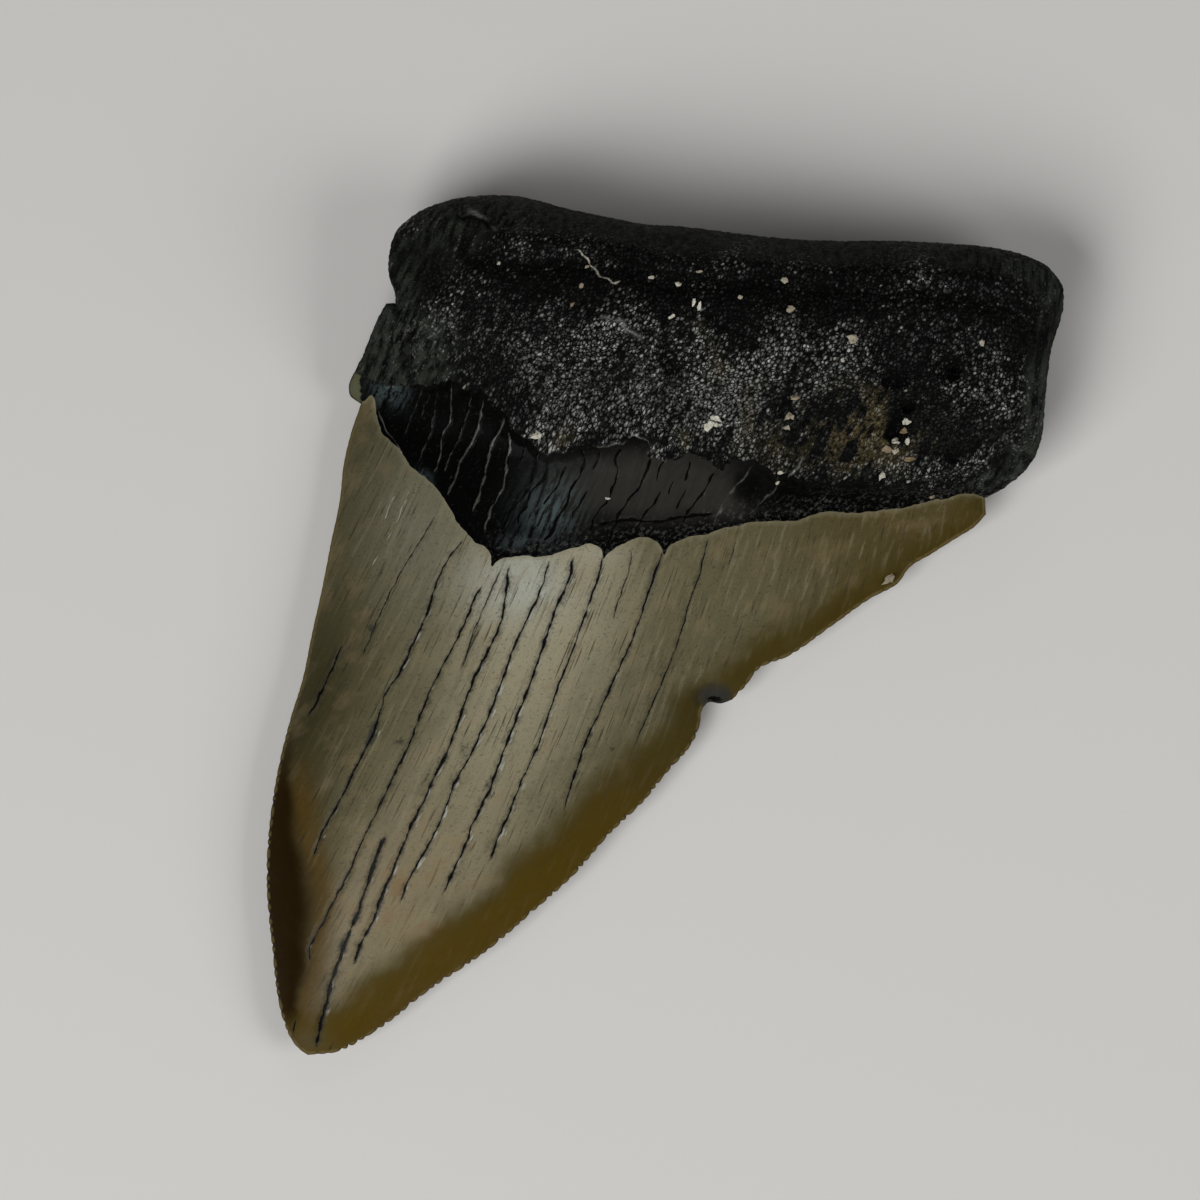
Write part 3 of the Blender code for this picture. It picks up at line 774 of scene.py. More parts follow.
# Cracks of the enamel, from the bourlette down towards the tip.
CROWN_SEAMS = [
    Seam([(-24.1, -1.2), (-25.0, -3.2), (-26.2, -5.8), (-26.9, -7.0)], 0.1, 0.08, 0.8),
    Seam([
        (-17.1, 8.3), (-18.2, 6.5), (-19.4, 4.6), (-20.5, 2.6), (-21.5, 0.5), (-22.8, -2.6),
    ], 0.05, 0.05, 0.6),
    Seam([(-19.6, 10.7), (-20.6, 9.0), (-21.2, 7.4)], 0.05, 0.04, 0.9, Mark.SHINE),
    Seam([(-19.0, 10.4), (-20.2, 7.6), (-21.4, 5.4), (-22.3, 4.0)], 0.05, 0.04, 0.9, Mark.SHINE),
    Seam([(-21.6, 16.4), (-21.1, 14.8), (-20.4, 13.9), (-19.4, 12.4)], 0.06, 0.02, 0.8, Mark.SHINE),
    Seam([
        (-15.0, 6.5), (-16.2, 4.9), (-17.1, 3.2), (-17.7, 1.2), (-18.9, -1.5), (-19.9, -3.6),
        (-21.0, -5.3), (-21.3, -6.5), (-21.8, -7.9), (-22.8, -9.9), (-23.8, -12.0), (-24.6, -13.5),
        (-25.5, -15.1), (-26.5, -17.5),
    ], 0.1, 0.1, 0.9, shine=0.5),
    Seam([
        (-13.6, 3.2), (-14.4, 1.7), (-14.9, 0.4), (-16.6, -3.0), (-17.5, -4.7), (-18.3, -6.7),
        (-19.2, -9.0), (-20.2, -11.0), (-21.5, -13.8), (-22.7, -16.1), (-23.5, -18.1), (-24.6, -20.2),
        (-25.6, -22.1), (-26.7, -24.6), (-26.6, -25.4),
    ], 0.08, 0.1, 0.9, shine=0.4),
    Seam([
        (-20.8, -15.3), (-21.9, -18.1), (-23.1, -21.7), (-23.8, -23.4), (-24.4, -24.9), (-25.0, -26.7),
        (-25.4, -28.3), (-25.9, -30.1), (-26.3, -31.9),
    ], 0.13, 0.12, 1.0, shine=0.4),
    Seam([(-12.2, 4.3), (-13.2, 2.2), (-14.2, -0.2), (-15.3, -3.6)], 0.05, 0.04, 0.6),
    Seam([
        (-11.7, 4.5), (-12.4, -0.1), (-13.3, -2.0), (-14.1, -3.6), (-15.0, -5.8), (-15.6, -7.6),
        (-16.6, -10.0), (-17.4, -11.6), (-18.0, -13.0), (-18.9, -14.7), (-19.6, -16.4), (-20.4, -18.4),
        (-21.2, -20.2), (-21.8, -21.9), (-22.7, -23.6), (-23.4, -25.5),
    ], 0.12, 0.12, 1.0, shine=0.7),
    Seam([
        (-8.7, 4.9), (-9.2, 3.0), (-10.1, 1.0), (-11.2, -1.3), (-11.8, -3.0), (-12.8, -5.7),
        (-13.5, -7.4), (-14.6, -9.7), (-15.8, -11.9), (-16.6, -14.1), (-17.5, -16.0), (-18.5, -17.7),
        (-19.4, -19.4), (-19.9, -21.0),
    ], 0.09, 0.1, 0.9, shine=0.8),
    Seam([
        (-6.9, 5.2), (-7.2, 3.5), (-8.2, 1.3), (-9.0, -1.1), (-9.8, -3.4), (-10.5, -5.3), (-11.3, -7.3),
        (-12.2, -9.6), (-12.9, -11.6), (-13.6, -13.2), (-14.5, -15.0), (-14.9, -16.2), (-15.7, -17.9),
        (-16.7, -20.2),
    ], 0.11, 0.12, 1.0, shine=0.7),
    Seam([
        (-4.7, 5.5), (-5.0, 3.8), (-5.9, 1.3), (-6.7, -1.1), (-7.4, -2.9), (-8.7, -6.4), (-9.6, -9.1),
        (-10.7, -11.4), (-11.8, -14.2), (-12.7, -16.2), (-13.2, -17.7),
    ], 0.09, 0.1, 0.9, shine=0.6),
    Seam([(-2.5, 5.8), (-2.9, 3.8), (-3.6, 1.7), (-4.1, 0.1)], 0.05, 0.05, 0.6),
    Seam([
        (-0.2, 5.7), (-0.8, 4.1), (-1.8, 1.1), (-2.6, -1.2), (-3.8, -3.8), (-5.0, -6.5), (-6.0, -8.6),
        (-6.7, -10.8), (-7.3, -12.5), (-7.7, -14.1),
    ], 0.09, 0.1, 0.95, shine=0.4),
    Seam([
        (3.1, 6.6), (2.5, 4.1), (1.7, 1.6), (0.9, -1.1), (-0.1, -3.7), (-1.2, -6.3), (-2.3, -8.7),
    ], 0.06, 0.07, 0.8),
    Seam([(5.2, 6.4), (4.5, 4.1)], 0.05, 0.04, 0.6),
    Seam([(-27.7, -29.1), (-28.1, -31.0)], 0.07, 0.06, 0.7),
    Seam([(-24.9, -31.1), (-25.4, -32.2)], 0.07, 0.06, 0.7),
    Seam([(2.9, -5.9), (3.25, -5.5), (3.9, -5.55), (4.5, -5.4)], 0.24, 0.2, 1.0),
]

# Bourlette: light grey ridges with painted glints that stand on it, then the cracks between its plates and
# a painted shadow line.
RIDGE_SEAMS = [
    Seam(points, half, -depth, light, Mark.SHINE)
    for points, half, depth, light in [
        ([(-19.6, 17.8), (-20.3, 16.7)], 0.09, 0.05, 0.35),
        ([(-18.9, 17.6), (-19.4, 16.7), (-19.9, 15.8)], 0.09, 0.05, 0.35),
        ([(-18.0, 17.8), (-18.4, 17.0), (-18.8, 16.1), (-19.4, 14.7), (-19.8, 13.5)], 0.09, 0.06, 0.35),
        ([(-17.5, 17.5), (-17.9, 16.6), (-18.4, 15.2)], 0.07, 0.05, 0.3),
        ([
            (-17.0, 17.7), (-17.2, 16.7), (-17.4, 15.4), (-17.6, 14.3), (-18.1, 13.1), (-18.5, 12.3),
            (-19.0, 11.9),
        ], 0.1, 0.08, 0.4),
        ([
            (-15.9, 18.0), (-16.0, 16.6), (-16.2, 15.0), (-16.7, 14.0), (-16.8, 13.1), (-17.0, 12.0),
            (-17.5, 11.0),
        ], 0.09, 0.08, 0.55),
        ([
            (-14.5, 17.2), (-14.6, 16.4), (-15.1, 15.0), (-15.7, 13.3), (-16.3, 12.3), (-16.6, 11.2),
        ], 0.07, 0.07, 0.4),
        ([
            (-13.5, 16.9), (-13.8, 15.5), (-14.1, 14.3), (-14.7, 13.2), (-15.4, 12.0), (-15.7, 11.0),
            (-16.0, 10.3), (-16.4, 9.5),
        ], 0.12, 0.1, 0.55),
        ([
            (-12.0, 15.6), (-12.3, 14.6), (-12.9, 13.6), (-13.3, 12.2), (-13.5, 11.0), (-13.8, 10.0),
            (-14.2, 9.0), (-14.5, 8.2),
        ], 0.13, 0.1, 0.6),
        ([
            (-11.8, 14.5), (-11.6, 13.4), (-11.9, 12.0), (-12.0, 10.8), (-12.5, 9.5), (-13.0, 8.6),
            (-13.3, 7.9), (-13.5, 6.7),
        ], 0.12, 0.1, 0.6),
        ([(-10.7, 14.2), (-10.5, 13.0), (-11.0, 11.6)], 0.07, 0.05, 0.3),
        ([(-8.1, 11.8), (-8.4, 10.7), (-9.0, 9.5), (-9.6, 8.5), (-10.1, 7.5)], 0.08, 0.05, 0.35),
        ([(5.3, 10.5), (4.8, 9.8), (4.2, 8.6), (3.7, 8.0)], 0.08, 0.06, 0.4),
        ([(8.4, 11.4), (8.2, 10.6), (7.8, 9.8), (7.3, 9.4), (6.6, 8.6), (6.0, 7.7)], 0.1, 0.08, 0.5),
        ([(10.0, 12.7), (9.9, 12.1), (9.4, 11.4), (8.7, 10.8)], 0.09, 0.08, 0.5),
        ([(9.8, 9.7), (9.3, 8.9)], 0.07, 0.05, 0.35),
        ([(12.1, 10.3), (11.7, 9.5), (11.2, 8.9)], 0.08, 0.06, 0.4),
        ([
            (6.5, 12.0), (5.9, 11.2), (5.3, 10.5), (4.8, 9.9), (4.1, 8.9), (3.8, 8.2), (3.3, 7.1),
        ], 0.1, 0.07, 0.5),
    ]
]
NECK_CRACKS_AND_SHADOW_LINE = [
    Seam(points, half, 0.09, 1.0, shine=0.35)
    for points, half in [
        ([
            (-9.6, 13.0), (-9.8, 11.8), (-10.1, 10.5), (-10.7, 9.4), (-11.6, 8.6), (-11.9, 7.7),
            (-12.4, 6.9),
        ], 0.09),
        ([(-8.8, 12.2), (-9.0, 11.1), (-9.9, 10.1), (-10.4, 8.9), (-11.0, 7.8), (-11.0, 7.3)], 0.09),
        ([(-7.4, 12.0), (-7.8, 11.1), (-8.1, 10.3), (-8.8, 9.5), (-9.2, 8.8)], 0.08),
        ([
            (-6.3, 13.2), (-6.1, 11.9), (-6.6, 10.9), (-7.1, 10.0), (-7.4, 9.0), (-8.1, 8.0),
            (-8.4, 7.1), (-9.2, 6.2),
        ], 0.1),
        ([(-5.8, 10.1), (-6.4, 9.1), (-6.9, 8.4), (-7.1, 7.7)], 0.07),
        ([(-5.0, 13.0), (-5.1, 12.2), (-5.5, 11.4)], 0.07),
        ([
            (-3.3, 13.2), (-3.8, 12.3), (-3.7, 11.3), (-4.0, 10.2), (-4.4, 9.2), (-5.0, 8.5),
            (-5.5, 7.6), (-5.8, 6.8),
        ], 0.1),
        ([
            (-1.2, 12.5), (-1.5, 11.4), (-1.9, 10.5), (-2.4, 9.7), (-3.0, 9.1), (-3.5, 8.3),
            (-3.9, 7.4), (-4.2, 6.6), (-4.5, 5.5),
        ], 0.1),
        ([(-0.1, 12.5), (-0.6, 11.5), (-0.7, 10.5)], 0.08),
        ([(-0.4, 10.1), (-0.9, 9.1), (-1.4, 8.6), (-1.8, 7.9), (-2.4, 7.1)], 0.09),
        ([(0.6, 10.9), (0.3, 10.1), (0.1, 9.5)], 0.06), ([(1.8, 12.3), (1.6, 11.4), (1.2, 10.6)], 0.09),
        ([(1.6, 10.3), (1.1, 9.4), (0.6, 8.5)], 0.09),
        ([(3.6, 11.5), (3.1, 10.5), (2.5, 9.5), (1.9, 8.9), (1.4, 8.1), (1.2, 7.4)], 0.1),
        # Not a crack: a painted shadow line along the step above the enamel, darkened and sunk like the
        # cracks.
        ([(-5.2, 7.4), (-3.5, 7.8), (-0.6, 7.7), (1.0, 8.0), (3.6, 8.3)], 0.12),
    ]
]

# Root: a fissure with painted glints and a white crack below its base, dark lines and two low ridges round
# the brown hollow, and light edges over the bourlette, which are low ridges with a painted highlight.
ROOT_SEAMS = [
    Seam([
        (-15.7, 30.4), (-14.9, 30.1), (-13.9, 29.9), (-13.2, 29.4), (-12.5, 28.8),
    ], 0.22, 0.35, 1.0, shine=0.8),
    Seam([
        (-7.2, 27.7), (-6.5, 27.5), (-6.0, 26.8), (-5.4, 26.2), (-4.7, 25.5), (-4.0, 25.2),
        (-3.1, 25.4),
    ], 0.08, 0.08, 0.8, Mark.VEIN),
    Seam([(19.2, 16.5), (17.7, 15.7), (16.6, 14.6), (15.9, 13.5)], 0.3, 0.3, 0.9),
    Seam([(11.1, 17.1), (10.3, 15.9), (10.0, 14.4), (8.7, 14.4)], 0.3, 0.3, 0.9),
    Seam([(15.0, 17.6), (14.7, 16.6), (14.4, 15.3), (14.0, 14.1), (13.7, 13.0)], 0.16, 0.15, 0.8),
    Seam([(15.2, 12.5), (14.7, 11.2)], 0.16, 0.15, 0.8),
    Seam([(10.6, 11.4), (11.4, 13.2), (12.5, 15.0), (13.9, 16.6)], 0.5, -0.4, 0.0),
    Seam([(18.5, 11.0), (21.5, 11.8), (24.0, 12.7), (26.3, 13.8)], 0.5, -0.35, 0.0),
    Seam([
        (-5.8, 13.3), (-4.8, 13.2), (-4.0, 13.3), (-3.4, 13.4), (-3.0, 13.7), (-2.4, 13.9),
        (-1.7, 13.8), (-1.3, 13.5), (-1.2, 12.5),
    ], 0.09, -0.08, 0.55, Mark.SHINE),
    Seam([(-5.2, 22.5), (-3.5, 22.2), (-2.8, 21.5), (-1.7, 20.9)], 0.12, -0.05, 0.6, Mark.SHINE),
]

# Bits of shell and sand: place, half length and half width, turn in degrees and how tan they are.
GRAINS = [
    ((-9.6, 14.1), (0.4, 0.36), 0, 0.1), ((3.1, 14.8), (0.5, 0.28), 60, 0.0),
    ((3.5, 15.3), (0.42, 0.26), -35, 0.0), ((3.7, 14.8), (0.28, 0.22), 0, 0.1),
    ((8.6, 25.3), (0.3, 0.22), 20, 0.6), ((5.3, 24.0), (0.2, 0.16), 70, 0.6),
    ((2.3, 23.3), (0.4, 0.16), 75, 0.0), ((1.9, 23.5), (0.3, 0.12), 75, 0.0),
    ((0.3, 22.6), (0.28, 0.16), 30, 0.2), ((0.8, 25.0), (0.22, 0.18), 0, 0.3),
    ((8.9, 23.1), (0.3, 0.24), 10, 0.7), ((2.3, 25.9), (0.24, 0.12), 0, 0.7),
    ((-1.2, 25.5), (0.24, 0.14), 0, 0.4), ((17.7, 15.1), (0.42, 0.28), 25, 0.0),
    ((17.6, 14.4), (0.34, 0.26), 0, 1.0), ((16.9, 13.6), (0.3, 0.26), 40, 0.4),
    ((17.8, 13.6), (0.3, 0.2), 80, 0.2), ((16.3, 13.0), (0.44, 0.32), 0, 0.9),
    ((16.9, 12.9), (0.3, 0.22), 0, 0.5), ((16.0, 11.2), (0.5, 0.2), 75, 0.2),
    ((23.2, 20.8), (0.24, 0.2), 90, 0.5), ((13.5, 21.0), (0.38, 0.34), 0, 0.6),
    ((9.3, 16.7), (0.34, 0.28), 0, 0.8), ((9.0, 15.4), (0.4, 0.3), 60, 0.7),
    ((8.8, 14.6), (0.26, 0.22), 0, 0.6), ((8.4, 11.3), (0.22, 0.18), 0, 0.2),
    ((8.2, 10.6), (0.2, 0.14), 60, 0.2), ((-6.3, 24.9), (0.24, 0.16), 60, 0.8),
    ((-7.0, 23.5), (0.22, 0.16), 40, 0.9), ((16.7, 3.5), (0.5, 0.34), 60, 0.8),
    ((-4.4, 9.4), (0.16, 0.14), 0, 0.0), ((17.9, 12.3), (0.34, 0.26), 0, 1.0),
    ((12.8, 19.4), (0.14, 0.12), 0, 0.3), ((-12.4, 26.6), (0.16, 0.12), 0, 0.4),
    ((19.8, 9.6), (0.22, 0.16), 0, 0.8), ((-5.9, 26.3), (0.2, 0.14), 20, 0.8),
]

ROOT_SWELLING = Spot((1.0, 19.0), (13.0, 7.0), 1.3)
# Pits that the solid has too, and the smaller holes and slits between them.
PIT_STEEPNESS = 1.5
ROOT_PITS = [
    Spot(middle, half, depth, steepness=PIT_STEEPNESS)
    for middle, half, depth in [
        ((14.9, 14.6), (4.2, 2.9), 1.0), ((16.8, 14.6), (0.9, 1.0), 1.5),
        ((17.4, 16.2), (0.8, 0.6), 1.2), ((16.6, 18.1), (1.1, 0.6), 0.9),
        ((20.9, 18.9), (0.9, 0.8), 0.9), ((21.3, 12.8), (1.3, 0.8), 0.9),
        ((25.0, 12.3), (1.2, 0.9), 0.9), ((0.2, 18.9), (0.7, 1.2), 0.8), ((8.4, 16.3), (0.6, 1.0), 0.7),
        ((-17.2, 26.2), (2.2, 1.6), 0.7),
    ]
]
ROOT_HOLES = [
    Spot(middle, half, depth, turn, PIT_STEEPNESS)
    for middle, half, depth, turn in [
        ((0.2, 19.0), (0.26, 0.85), 0.5, -20.0), ((8.6, 16.3), (0.16, 0.7), 0.45, -20.0),
        ((17.2, 14.4), (0.35, 0.3), 0.5, 0.0), ((17.2, 12.7), (0.3, 0.35), 0.4, 0.0),
        ((17.7, 16.0), (0.3, 0.25), 0.4, 0.0), ((21.0, 19.0), (0.35, 0.3), 0.5, 0.0),
        ((21.2, 12.5), (0.4, 0.3), 0.4, 0.0), ((25.3, 11.4), (0.4, 0.3), 0.4, 0.0),
        ((-19.7, 23.8), (0.3, 0.4), 0.4, 0.0), ((16.6, 10.2), (0.9, 0.28), 0.35, 0.0),
        ((24.3, 11.4), (0.3, 0.25), 0.35, 0.0),
    ]
]

# Crest of the crown, along which a painted sheen makes the enamel palest, and how strong that sheen is
# against Y.
CREST = [(-8.5, 4.5), (-10.5, -4.0), (-14.5, -13.0), (-19.5, -21.5), (-24.3, -28.5)]
CREST_SHEEN = [(-30.0, 0.4), (-22.0, 0.6), (-13.0, 0.6), (-6.0, 0.75), (0.0, 1.0), (6.0, 1.0)]
# Width of the amber band along the right edge and how softly it ends, and width of the brown band along the
# left edge, each against Y.
AMBER_WIDTH = [(-32.0, 3.6), (-25.0, 4.1), (-12.0, 3.9), (-6.0, 2.4), (0.0, 2.2), (8.0, 1.4)]
AMBER_SOFTNESS = [(-32.0, 1.2), (-10.0, 1.4), (-4.0, 1.5), (8.0, 1.8)]
UMBER_WIDTH = [
    (-30.0, 0.5), (-29.4, 1.0), (-28.2, 1.8), (-26.3, 2.5), (-23.9, 3.0), (-21.5, 3.7), (-18.1, 3.3),
    (-16.7, 2.8), (-14.3, 2.1), (-11.6, 1.3), (-6.0, 0.7), (0.0, 0.4),
]
# Grey blots on the cracks and round dark spots beside them.
CROWN_BLOTS = [
    Spot((-22.0, -8.2), (0.33, 1.9), 0.85, -22.0), Spot((-19.8, -8.7), (0.75, 0.4), 0.7),
    Spot((-24.2, -23.8), (0.4, 0.8), 0.8, -25.0), Spot((-23.0, -21.4), (0.3, 0.9), 0.7, -25.0),
    Spot((-21.4, -21.1), (0.3, 0.9), 0.7, -25.0), Spot((-2.9, -2.1), (0.28, 0.6), 0.7, -20.0),
    Spot((-13.3, -11.8), (0.25, 0.7), 0.8, -20.0), Spot((-13.6, -2.9), (0.35, 1.1), 0.55, -22.0),
    Spot((-15.0, -9.4), (0.5, 1.3), 0.5, -25.0), Spot((-17.9, -11.5), (0.35, 1.3), 0.45, -25.0),
    Spot((-22.0, -0.2), (0.4, 0.35), 0.75, 0.0, 2.0), Spot((-22.1, 6.8), (0.3, 0.6), 0.35, 0.0, 2.0),
    Spot((-24.7, -2.5), (0.3, 0.35), 0.4), Spot((-20.9, 2.0), (0.3, 0.3), 0.35),
    Spot((-4.1, -9.2), (0.3, 0.22), 0.7), Spot((0.6, -8.4), (0.3, 0.25), 0.5),
    Spot((6.4, -1.0), (0.45, 0.35), 0.5), Spot((8.7, 0.8), (0.4, 0.3), 0.4),
    Spot((18.2, 4.9), (0.28, 0.28), 0.5), Spot((-7.2, 3.2), (0.35, 0.9), 0.35, -20.0),
]
# Patches of painted bluish sheen, brightest in the middle of the crown below the neck.
BLUE_SHEEN_PATCHES = [
    Spot((-11.0, 3.2), (3.4, 2.6), 1.0), Spot((-27.6, -5.8), (0.9, 4.4), 0.3, -12.0),
    Spot((-4.8, 5.4), (1.6, 0.7), 0.3), Spot((-19.0, 7.5), (4.5, 7.0), 0.2),
]
LOWER_WARMTH = Spot((-20.5, -20.5), (4.5, 8.5), 1.0, -30.0)
# Inner side of the flake at the left, which closes its outline.
FLAKE_INSIDE = [(-22.9, 17.2), (-22.95, 18.4), (-22.75, 19.6)]
PLATES = [
    Spot((-0.6, 10.4), (6.6, 2.6), 1.1, 0.0, 2.0), Spot((-7.4, 9.6), (2.2, 2.6), 0.5),
    Spot((4.6, 8.8), (1.6, 1.0), 0.5),
]
POOLS = [
    Spot((-15.9, 13.0), (4.2, 4.6), 1.2, 0.0, 2.0), Spot((6.2, 10.2), (1.3, 1.5), 0.9, 0.0, 2.0),
    Spot((9.0, 9.4), (1.1, 1.0), 0.9, 0.0, 2.0), Spot((11.2, 9.3), (0.8, 0.6), 0.9, 0.0, 2.0),
]
TEAL_PATCHES = [
    Spot((-8.6, 8.5), (1.9, 2.3), 1.0, -20.0), Spot((-20.7, 17.6), (1.3, 1.1), 0.9),
    Spot((-18.1, 10.9), (0.8, 0.5), 0.9, -45.0), Spot((-11.2, 6.2), (1.2, 0.5), 0.5),
]
# Root: where painted light falls on its specks, where it is smooth, brown and tan, and where it is black,
# partly as painted shade in pits and along its base.
ROOT_LIGHT = [
    Spot((2.5, 17.0), (9.5, 4.6), 1.0, 0.0, 1.6), Spot((-6.5, 18.5), (3.6, 4.4), 0.5),
    Spot((13.0, 20.6), (3.0, 2.4), 0.55), Spot((22.9, 12.1), (2.2, 0.7), 0.9, 22.0),
    Spot((22.5, 16.5), (3.0, 3.6), 0.25), Spot((-13.5, 22.0), (4.5, 4.0), 0.25),
    Spot((6.0, 28.2), (5.0, 0.7), 0.4), Spot((16.0, 11.6), (5.0, 1.2), 0.5, 8.0),
    Spot((18.5, 23.6), (2.6, 1.1), 0.4),
]
ROOT_SMOOTH = [
    Spot((-19.2, 20.0), (3.6, 3.8), 1.1, -20.0), Spot((24.5, 15.0), (2.0, 3.5), 0.25),
    Spot((-16.5, 28.6), (3.6, 2.6), 0.8), Spot((15.0, 11.4), (4.5, 1.3), 0.35),
]
ROOT_BROWN = [
    Spot((14.0, 14.4), (4.4, 2.9), 0.95, 0.0, 1.5), Spot((3.9, 19.4), (0.9, 1.7), 0.55, -10.0),
    Spot((1.5, 21.0), (0.8, 1.0), 0.5), Spot((0.1, 16.3), (1.4, 1.0), 0.5),
    Spot((1.2, 13.7), (1.1, 0.8), 0.6), Spot((6.2, 15.6), (1.0, 2.4), 0.45, -15.0),
    Spot((-7.9, 13.7), (1.0, 0.8), 0.6), Spot((-13.5, 17.2), (1.3, 0.5), 0.8),
    Spot((8.1, 13.1), (1.1, 1.2), 0.5),
]
ROOT_TAN = [
    Spot((17.4, 16.9), (1.1, 0.6), 0.9, 15.0), Spot((12.6, 12.4), (2.2, 1.4), 0.7),
    Spot((15.3, 16.5), (1.2, 0.8), 0.6), Spot((8.1, 13.1), (0.7, 0.9), 0.6),
    Spot((-3.8, 15.2), (2.0, 1.2), 0.35), Spot((9.3, 16.2), (0.5, 1.2), 0.7, -15.0),
]
# Black patches; those over the pits and along the band at the root's base are painted shade.
ROOT_BLACK_AND_SHADE = [
    Spot((8.3, 16.6), (0.7, 1.6), 0.8, -15.0), Spot((10.6, 14.0), (0.7, 2.2), 0.7, -10.0),
    Spot((7.0, 12.6), (1.6, 0.8), 0.5), Spot((20.9, 19.0), (1.1, 1.0), 0.8),
    Spot((21.4, 12.8), (1.7, 1.0), 0.8), Spot((25.0, 11.6), (1.3, 0.7), 0.9),
    Spot((17.0, 14.2), (0.7, 0.6), 0.8), Spot((2.8, 15.4), (0.5, 2.2), 0.55, -15.0),
    Spot((-10.5, 24.5), (3.5, 2.6), 0.6), Spot((19.5, 21.0), (4.0, 1.5), 0.4),
    Spot((-7.5, 14.6), (1.0, 1.0), 0.5), Spot((23.0, 24.0), (3.0, 2.0), 0.35),
    Spot((6.0, 28.3), (19.0, 1.5), 0.8, -4.7),
]


@dataclass
class Crown:
    """The enamel: a domed, serrated blade, cracked along its grain and chipped on the right."""

    plan: Plan
    dome_height: float = 12.0
    dome_width: float = 38.0
    root_fullness: float = 0.55
    root_rounding: float = 6.0
    flute_depth: float = 0.07
    flute_width: float = 2.2
    flute_length: float = 14.0
    flute_angle: float = math.radians(62.0)
    groove_depth: float = 0.05
    groove_reach: float = 0.5
    groove_end: float = 3.0
    crest_width: float = 7.0
    chip: Spot = Spot((3.7, -5.3), (1.5, 1.0), 1.1, steepness=2.0)
    # Where the chip is coloured darker grey.
    chip_darkening: Spot = Spot((3.65, -5.35), (1.4, 0.95), steepness=3.0)
    tip: Spot = Spot((-26.7, -31.2), (1.5, 1.0))

    def __post_init__(self) -> None:
        """Draws the cracks and the crest of the dome."""
        self.seams = Seams(CROWN_SEAMS)
        self.crest = Trail(smooth_curve(CREST, 0.5))

    def dome(self, survey: Survey) -> Array:
        """Gives the height of the dome over the rim, which the root shares.

        Args:
            survey: Points of the upper face.

        Returns:
            The height at each of them.
        """
        height = self.dome_height * (1.0 - np.exp(-survey.width / self.dome_width))
        height *= survey.lens ** (1.0 - (1.0 - self.root_fullness) * survey.rootwards)
        return height * quarter_round(survey.to_base / self.root_rounding)

    def flutes(self, survey: Survey) -> Array:
        """Gives the faint ups and downs of the enamel, long in the direction of its grain."""
        places = stretched(survey.points, self.flute_angle, self.flute_width, self.flute_length)
        return self.flute_depth * ripple(places, 1.0, 5.1)

    def notches(self, survey: Survey, fade: Callable[[Array], Array]) -> Array:
        """Reads the notches of the cutting edges from beside them.

        Args:
            survey: Points of either face.
            fade: What is left of a notch at a distance from its edge.

        Returns:
            The depth of the deepest notch that reaches each point.
        """
        depth = np.zeros(len(survey.points))
        for edge in self.plan.cutting_edges:
            near = edge.trail.nearest(survey.points)
            depth = np.maximum(depth, edge.notch(near.along, near.foot[:, 1]) * fade(near.gap))
        return depth

    def edge_grooves(self, survey: Survey) -> Array:
        """Gives the depth of the grooves that run in from the notches of the cutting edges."""
        depth = self.notches(survey, lambda gap: np.exp(-gap / self.groove_reach) * (gap < self.groove_end))
        return self.groove_depth * depth * smoothstep(0.1, 0.4, survey.to_rim)

    def tints(self, survey: Survey) -> dict[str, Array]:
        """Works out where the colours of the enamel lie.

        Args:
            survey: Points of either face.

        Returns:
            The strength of each colour at each point, by its name.
        """
        points = survey.points
        x, y = points.T
        uneven = ripple(points, 2.6, 3.3) + 0.5 * ripple(points, 0.9, 9.1)
        right = survey.to_right + 0.8 * uneven
        left = survey.to_left + 0.35 * uneven
        tables = (AMBER_WIDTH, AMBER_SOFTNESS, UMBER_WIDTH, CREST_SHEEN)
        amber, soft, umber, pale = [np.interp(y, *zip(*table)) for table in tables]
        inner = smoothstep(0.0, 1.0, survey.to_left / np.maximum(umber, 0.1))
        brown = 1.0 - smoothstep(0.6, 1.25, left / np.maximum(umber, 0.05))
        brown *= smoothstep(-30.6, -28.6, y) * (1.0 - smoothstep(-12.5, -6.0, y))
        fringe = bell(left - umber - 0.6, 1.25) * smoothstep(-30.5, -28.0, y)
        notches = self.notches(survey, lambda gap: gap < 0.5)
        teeth = (1.0 - smoothstep(0.12, 0.42, survey.to_rim)) * (survey.rootwards < 0.5)
        chip = self.chip_darkening.at(points)
        return {
            # Painted sheen along the crest of the dome.
            "pale": pale * bell(self.crest.nearest(points).gap, self.crest_width),
            "amber": 1.0 - smoothstep(amber - soft, amber + soft, right),
            "gold": smoothstep(-9.0, -17.0, y) * (1.0 - smoothstep(1.5, 4.5, right)),
            "umber": brown * (0.85 + 0.15 * inner),
            "fringe": fringe * (1.0 - smoothstep(-14.0, -8.0, y)),
            # Olive tint with painted shade on the left flank, weaker towards the neck.
            "olive_and_painted_shade": (1.0 - smoothstep(0.6, 7.0, left)) * (1.0 - 0.5 * smoothstep(-4.0, 5.0, y)),
            "shade": smoothstep(5.0, 20.0, x + 0.4 * y),
            "tip": self.tip.at(points),
            "warm": LOWER_WARMTH.at(points),
            "blot": together(CROWN_BLOTS, points),
            # Painted bluish sheen.
            "blue_sheen": together(BLUE_SHEEN_PATCHES, points),
            # Painted highlight on the tips of the serrations, none in the notches or the chip.
            "lit_tooth_edge": teeth * (1.0 - 1.6 * notches) * (1.0 - chip),
            # Painted highlight along the rim of the enamel at the neck.
            "enamel_rim_highlight": bell(np.clip(survey.into_enamel, 0.0, None), 0.16),
            "chip": chip,
        }


